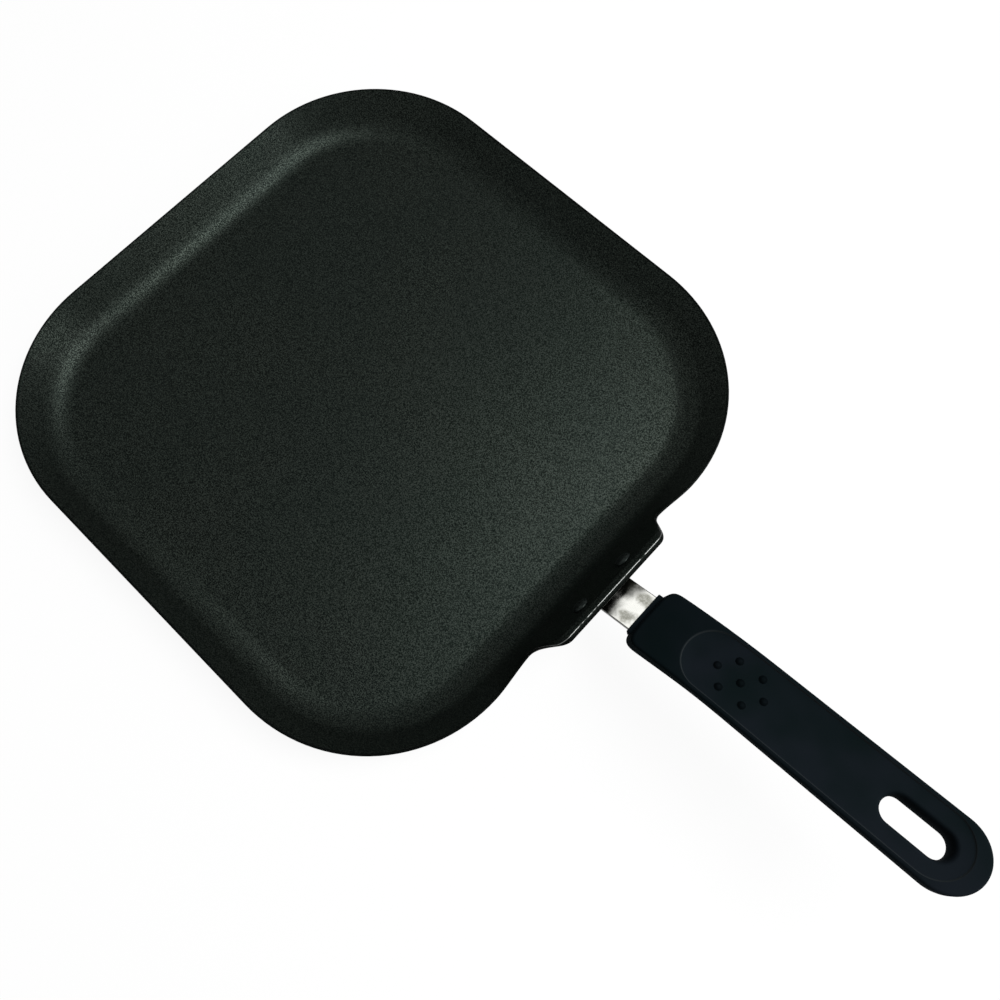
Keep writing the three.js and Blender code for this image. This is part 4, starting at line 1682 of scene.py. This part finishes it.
@dataclass(frozen=True)
class PlatedSteel:
    """Bright plated steel, dull in patches, with painted shade next to the ear and along its sides, and a
    painted dark reflection on each side of the tang near the grip.

    Attributes:
        bright: Clean plating.
        stain_and_reflection: Painted dark reflection in the blotches.
        painted_shade: Painted shade next to the ear and along the sides.
        half_width: Half the tang's width.
        shade_reach: Distances from the tang's root, noise and all, from clean to full painted shade.
        shade_ragged: How far the noise moves them.
        shade_drawn: How much further the painted shade runs with the distance out, and with that to one side.
        shaded_sides: Width of the painted shade along the sides, from clean to full.
        blotch_along: Middle of each painted reflection blotch, from the tang's root.
        blotch_across: Middle of each blotch, from the tang's middle line.
        blotch_reach: Half lengths of a blotch along and across.
        blotch_ragged: How far the noise moves a blotch's edge, in half lengths.
        blotch_edge: Where a blotch starts and is full, in half lengths.
        cloud_size: Size of the noise of the painted reflection blotches, which also breaks up the painted
            shade.
        fleck_size: Size of the flecks in the blotches.
        fleck_share: Least and most that a fleck leaves of a blotch.
        streak_size: Width of the fine streaks along the tang.
        streak_stretch: How the streaks are drawn out.
        streak_turn: The tang's slope, which they follow.
        rough: Roughness of clean and of dull plating.
        streak_rough: Roughness that the streaks add.
    """

    bright: Colour = (0.94, 0.94, 0.89)
    stain_and_reflection: Colour = (0.20, 0.20, 0.16)
    painted_shade: Colour = (0.022, 0.023, 0.018)
    half_width: float = 8.9
    shade_reach: Pair = (17.5, 9.5)
    shade_ragged: float = 9.0
    shade_drawn: Pair = (0.45, 0.15)
    shaded_sides: Pair = (0.45, 0.1)
    blotch_along: float = 17.0
    blotch_across: float = 5.0
    blotch_reach: Pair = (4.8, 3.0)
    blotch_ragged: float = 3.4
    blotch_edge: Pair = (1.3, 0.35)
    cloud_size: float = 6.5
    fleck_size: float = 1.4
    fleck_share: Pair = (0.55, 0.95)
    streak_size: float = 0.5
    streak_stretch: Point = (0.12, 1.0, 1.0)
    streak_turn: float = 22.0
    rough: Pair = (0.16, 0.32)
    streak_rough: float = 0.08

    def shade_mask(self, surface: Surface, cloud: Socket) -> Socket:
        """Where painted shade darkens the tang: close to the ear, further along its sides, and along its side
        edges.

        Args:
            surface: The material's node helper.
            cloud: The noise that makes the painted shade's edge ragged.

        Returns:
            A share from 0 to 1.
        """
        along, across = surface.attribute("along_tang"), surface.attribute("across_tang")
        out = surface.math("ABSOLUTE", across)
        ragged = surface.math("ADD", along, surface.times(cloud, self.shade_ragged))
        outwards, sideways = self.shade_drawn
        drawn = surface.math("ADD", surface.times(out, outwards), surface.times(across, sideways))
        near = surface.spread(surface.math("SUBTRACT", ragged, drawn), *self.shade_reach)
        side = surface.spread(out, *(self.half_width - width for width in self.shaded_sides))
        return surface.math("MAXIMUM", near, side)

    def reflection_blotch(self, surface: Surface, cloud: Socket) -> Socket:
        """Two oval blotches of painted dark reflection with ragged edges: the distance from each middle in
        half lengths, plus noise.

        Args:
            surface: The material's node helper.
            cloud: The noise that makes the blotches' edges ragged.

        Returns:
            A share from 0 to 1.
        """
        out = surface.math("ABSOLUTE", surface.attribute("across_tang"))
        places = ((surface.attribute("along_tang"), self.blotch_along), (out, self.blotch_across))
        squares = []
        for (value, middle), reach in zip(places, self.blotch_reach):
            off = surface.math("DIVIDE", surface.math("SUBTRACT", value, middle), reach)
            squares.append(surface.times(off, off))
        away = surface.math("SQRT", surface.math("ADD", *squares))
        push = surface.times(surface.math("SUBTRACT", cloud, 0.5), self.blotch_ragged)
        return surface.spread(surface.math("SUBTRACT", away, push), *self.blotch_edge)

    def material(self) -> Material:
        """Builds the material.

        Returns:
            The material.
        """
        surface = Surface("plated_steel", Metallic=1.0)
        where = surface.coords()
        cloud = surface.noise(where, self.cloud_size, 3.0, 0.6)
        fleck = surface.noise(where, self.fleck_size, 3.0, 0.7)
        drawn_out = surface.coords(self.streak_stretch, self.streak_turn)
        streak = surface.noise(drawn_out, self.streak_size, 3.0)
        mottle = surface.spread(fleck, 0.2, 0.8, self.fleck_share)
        # Painted reflection: two dark blotches near the grip, flecked by noise.
        reflection_blotch = surface.times(self.reflection_blotch(surface, cloud), mottle)
        colour = surface.mix(reflection_blotch, self.bright, self.stain_and_reflection)
        dull = surface.spread(cloud, *UPPER, self.rough)
        # The base colour carries painted shade next to the ear and along the tang's sides.
        surface.feed(
            Base_Color=surface.mix(self.shade_mask(surface, cloud), colour, self.painted_shade),
            Roughness=surface.math("ADD", dull, surface.times(streak, self.streak_rough)),
        )
        surface.bump(surface.math("ADD", streak, surface.times(cloud, 2.0)), 0.25, 0.08)
        return surface.material


@dataclass(frozen=True)
class MouldedGrip:
    """Blue-black soft moulding with a fine satin texture, a little paler where it is handled, with painted
    shade on its sides and dots and a painted highlight along the panel's bevel.

    Attributes:
        deep: The moulding.
        handled: Where it is paler.
        flank: Painted shade on the sides outside the panel.
        border: Painted highlight on the panel's bevel.
        shaded: Painted shade on the dots.
        side_shade_share: How much of the painted side shade shows.
        highlight_share: How much of the painted highlight shows.
        cloud_size: Size of the paler patches.
        pore_size: Size of the satin texture.
        rough: Roughness of the moulding and of its paler patches.
        pore_rough: Roughness that the texture adds.
    """

    deep: Colour = (0.0034, 0.0062, 0.0069)
    handled: Colour = (0.0062, 0.0084, 0.0112)
    flank: Colour = (0.0020, 0.0040, 0.0046)
    border: Colour = (0.0170, 0.0205, 0.0215)
    shaded: Colour = (0.0010, 0.0016, 0.0020)
    side_shade_share: float = 0.5
    highlight_share: float = 0.8
    cloud_size: float = 26.0
    pore_size: float = 0.35
    rough: Pair = (0.77, 0.67)
    pore_rough: float = 0.06

    def material(self) -> Material:
        """Builds the material.

        Returns:
            The material.
        """
        surface = Surface("moulded_grip", Specular_IOR_Level=0.004)
        where = surface.coords()
        cloud = surface.noise(where, self.cloud_size, 2.0)
        pore = surface.noise(where, self.pore_size, 2.0, 0.6)
        colour = surface.mix(surface.spread(cloud, *MOST), self.deep, self.handled)
        # Painted shade on the sides outside the panel, fading out towards the tip.
        flank = surface.times(surface.attribute("painted_side_shade"), self.side_shade_share)
        colour = surface.mix(flank, colour, self.flank)
        # Painted highlight along the panel's bevel.
        line = surface.times(surface.attribute("panel_border_highlight"), self.highlight_share)
        colour = surface.mix(line, colour, self.border)
        rough = surface.spread(cloud, *MOST, self.rough)
        # The base colour also carries painted shade on the dots.
        surface.feed(
            Base_Color=surface.mix(surface.attribute("dot_shade"), colour, self.shaded),
            Roughness=surface.math("ADD", rough, surface.times(pore, self.pore_rough)),
        )
        surface.bump(pore, 0.12, 0.04)
        return surface.material


@dataclass(frozen=True)
class TurnedMetal:
    """Machined metal with fine turning marks, for the hidden fixing."""

    name: str
    colour: Colour
    stain_and_reflection: Colour
    rough: Pair
    cloud_size: float = 2.2
    mark_size: float = 0.18

    @classmethod
    def steel(cls) -> "TurnedMetal":
        """Zinc-plated steel."""
        return cls("turned_steel", (0.62, 0.63, 0.64), (0.42, 0.43, 0.45), (0.22, 0.38))

    @classmethod
    def brass(cls) -> "TurnedMetal":
        """Turned brass."""
        return cls("turned_brass", (0.66, 0.46, 0.18), (0.42, 0.27, 0.10), (0.24, 0.40))

    def material(self) -> Material:
        """Builds the material.

        Returns:
            The material.
        """
        surface = Surface(self.name, Metallic=1.0)
        where = surface.coords()
        cloud = surface.noise(where, self.cloud_size, 4.0, 0.6)
        mark = surface.noise(where, self.mark_size, 2.0)
        surface.feed(
            Base_Color=surface.mix(surface.spread(cloud, 0.42, 0.72), self.colour, self.stain_and_reflection),
            Roughness=surface.spread(mark, *MOST, self.rough),
        )
        surface.bump(mark, 0.1, 0.02)
        return surface.material


@dataclass(frozen=True)
class Lamp:
    """One soft rectangular lamp.

    Attributes:
        name: What it is for.
        place: Where it hangs, in metres.
        aim: The point that it faces.
        size: Width and height.
        watts: Its power.
    """

    name: str
    place: Point
    aim: Point
    size: Pair
    watts: float

    def build(self) -> None:
        """Hangs the lamp, facing its aim."""
        data = bpy.data.lights.new(self.name, "AREA")
        data.shape = "RECTANGLE"
        data.size, data.size_y = self.size
        data.energy = self.watts
        lamp = bpy.data.objects.new(self.name, data)
        lamp.matrix_world = facing(self.place, np.subtract(self.aim, self.place))
        lamp.visible_camera = False
        bpy.context.scene.collection.objects.link(lamp)


def facing(place: Point, forward: Point | Array, up: Point = (0.0, 1.0, 0.0)) -> Matrix:
    """The transform of something that looks along its own -Z axis.

    Args:
        place: Where it stands.
        forward: The direction that it looks in.
        up: Roughly its upper side.

    Returns:
        The transform.
    """
    back = -np.asarray(forward, float) / np.linalg.norm(forward)
    right = np.cross(up, back)
    right /= np.linalg.norm(right)
    turned_axes = np.eye(4)
    turned_axes[:3, 0], turned_axes[:3, 1], turned_axes[:3, 2] = right, np.cross(back, right), back
    turned_axes[:3, 3] = place
    return Matrix(turned_axes.tolist())


@dataclass
class Studio:
    """A pale floor, soft lamps, a white surround and the photograph's camera."""

    floor_half: float = 6.0
    floor_drop: float = 0.05
    floor_colour: Colour = (0.86, 0.86, 0.86)
    floor_glow: float = 0.93
    fill: float = 0.08
    camera_place: Point = (0.136578, -0.092397, 0.385637)
    camera_forward: Point = (-0.20391, 0.18389, -0.96156)
    camera_up: Point = (-0.66310, 0.69664, 0.27384)
    lens: float = 30.669
    sensor: float = 36.0
    shift: float = 0.07254
    clip_start: float = 0.01
    lamps: tuple[Lamp, ...] = (
        Lamp("overhead_box", (0.39, 0.43, 1.14), (0.0, 0.0, 0.0), (0.75, 0.75), 20.0),
        Lamp("handle_side_box", (1.00, 0.62, 0.58), (-0.05, -0.05, 0.0), (0.60, 0.50), 6.5),
    )

    def surround(self, nodes: Nodes) -> Socket:
        """1 for the rays that see the surround itself: camera, glossy and transmission rays.

        Args:
            nodes: Node helper of the tree that asks.

        Returns:
            1 or 0.
        """
        path = nodes.add("ShaderNodeLightPath")
        seen = nodes.math("MAXIMUM", path.outputs["Is Camera Ray"], path.outputs["Is Glossy Ray"])
        return nodes.math("MAXIMUM", seen, path.outputs["Is Transmission Ray"])

    def build_floor(self) -> None:
        """Lays the floor: pale and matt, with a white glow for seen rays that keeps a soft shadow."""
        half = self.floor_half / MM
        side = np.array([-half, half])
        level = np.full((2, 2), -self.floor_drop)
        grid = np.stack([*np.meshgrid(side, side, indexing="ij"), level], axis=-1)
        floor = bpy.data.objects.new("floor", skin(grid, Closing.OPEN).mesh("floor"))
        bpy.context.scene.collection.objects.link(floor)
        surface = Surface("pale_floor", Roughness=1.0, Specular_IOR_Level=0.0)
        surface.feed(Base_Color=(*self.floor_colour, 1.0))
        glow = surface.add("ShaderNodeEmission", Color=(1.0, 1.0, 1.0, 1.0), Strength=1.0)
        blend = surface.add("ShaderNodeMixShader")
        seen = surface.times(self.surround(surface), self.floor_glow)
        for value, socket in zip((seen, surface.shader.outputs[0], glow.outputs[0]), blend.inputs):
            surface.link(value, socket)
        surface.link(blend.outputs[0], surface.tree.nodes["Material Output"].inputs["Surface"])
        floor.data.materials.append(surface.material)

    def build_world(self) -> None:
        """Sets the world: white where it is seen, and a plain grey level as fill light."""
        world = bpy.data.worlds.new("studio")
        world.use_nodes = True
        nodes = Nodes(world.node_tree)
        background = world.node_tree.nodes["Background"]
        background.inputs["Color"].default_value = (1.0, 1.0, 1.0, 1.0)
        level = nodes.spread(self.surround(nodes), 0.0, 1.0, (self.fill, 1.0))
        nodes.link(level, background.inputs["Strength"])
        bpy.context.scene.world = world

    def build_camera(self) -> None:
        """Sets up the camera at the photograph's viewing angle and framing."""
        data = bpy.data.cameras.new("photo_camera")
        data.sensor_fit = "HORIZONTAL"
        data.sensor_width = self.sensor
        data.lens = self.lens
        data.shift_x = self.shift
        data.clip_start = self.clip_start
        camera = bpy.data.objects.new("photo_camera", data)
        camera.matrix_world = facing(self.camera_place, self.camera_forward, self.camera_up)
        bpy.context.scene.collection.objects.link(camera)
        bpy.context.scene.camera = camera

    def build(self) -> None:
        """Builds the floor, world, lamps and camera."""
        self.build_floor()
        self.build_world()
        for lamp in self.lamps:
            lamp.build()
        self.build_camera()
        bpy.context.scene.view_settings.view_transform = "Standard"


def corners(box: Sequence[Sequence[float]]) -> list[list[float]]:
    """A box's two corners as plain lists of numbers."""
    return [[float(number) for number in corner] for corner in box]


def main() -> None:
    """Builds the pan, its handle, the fixing and the studio."""
    tray = PanTray()
    mount = HandleMount(tray)
    pieces = [
        tray.build(),
        Bracket(mount).build(),
        *Rivets(mount).build(),
        Grip(mount).build(),
        *Fixing(mount).build(),
    ]
    for piece in pieces:
        LOG.info("%s: %d faces", piece.name, len(piece.data.polygons))
    Studio().build()
    bpy.context.view_layer.update()


if __name__ == "__main__":
    logging.basicConfig(level=logging.INFO)
    main()
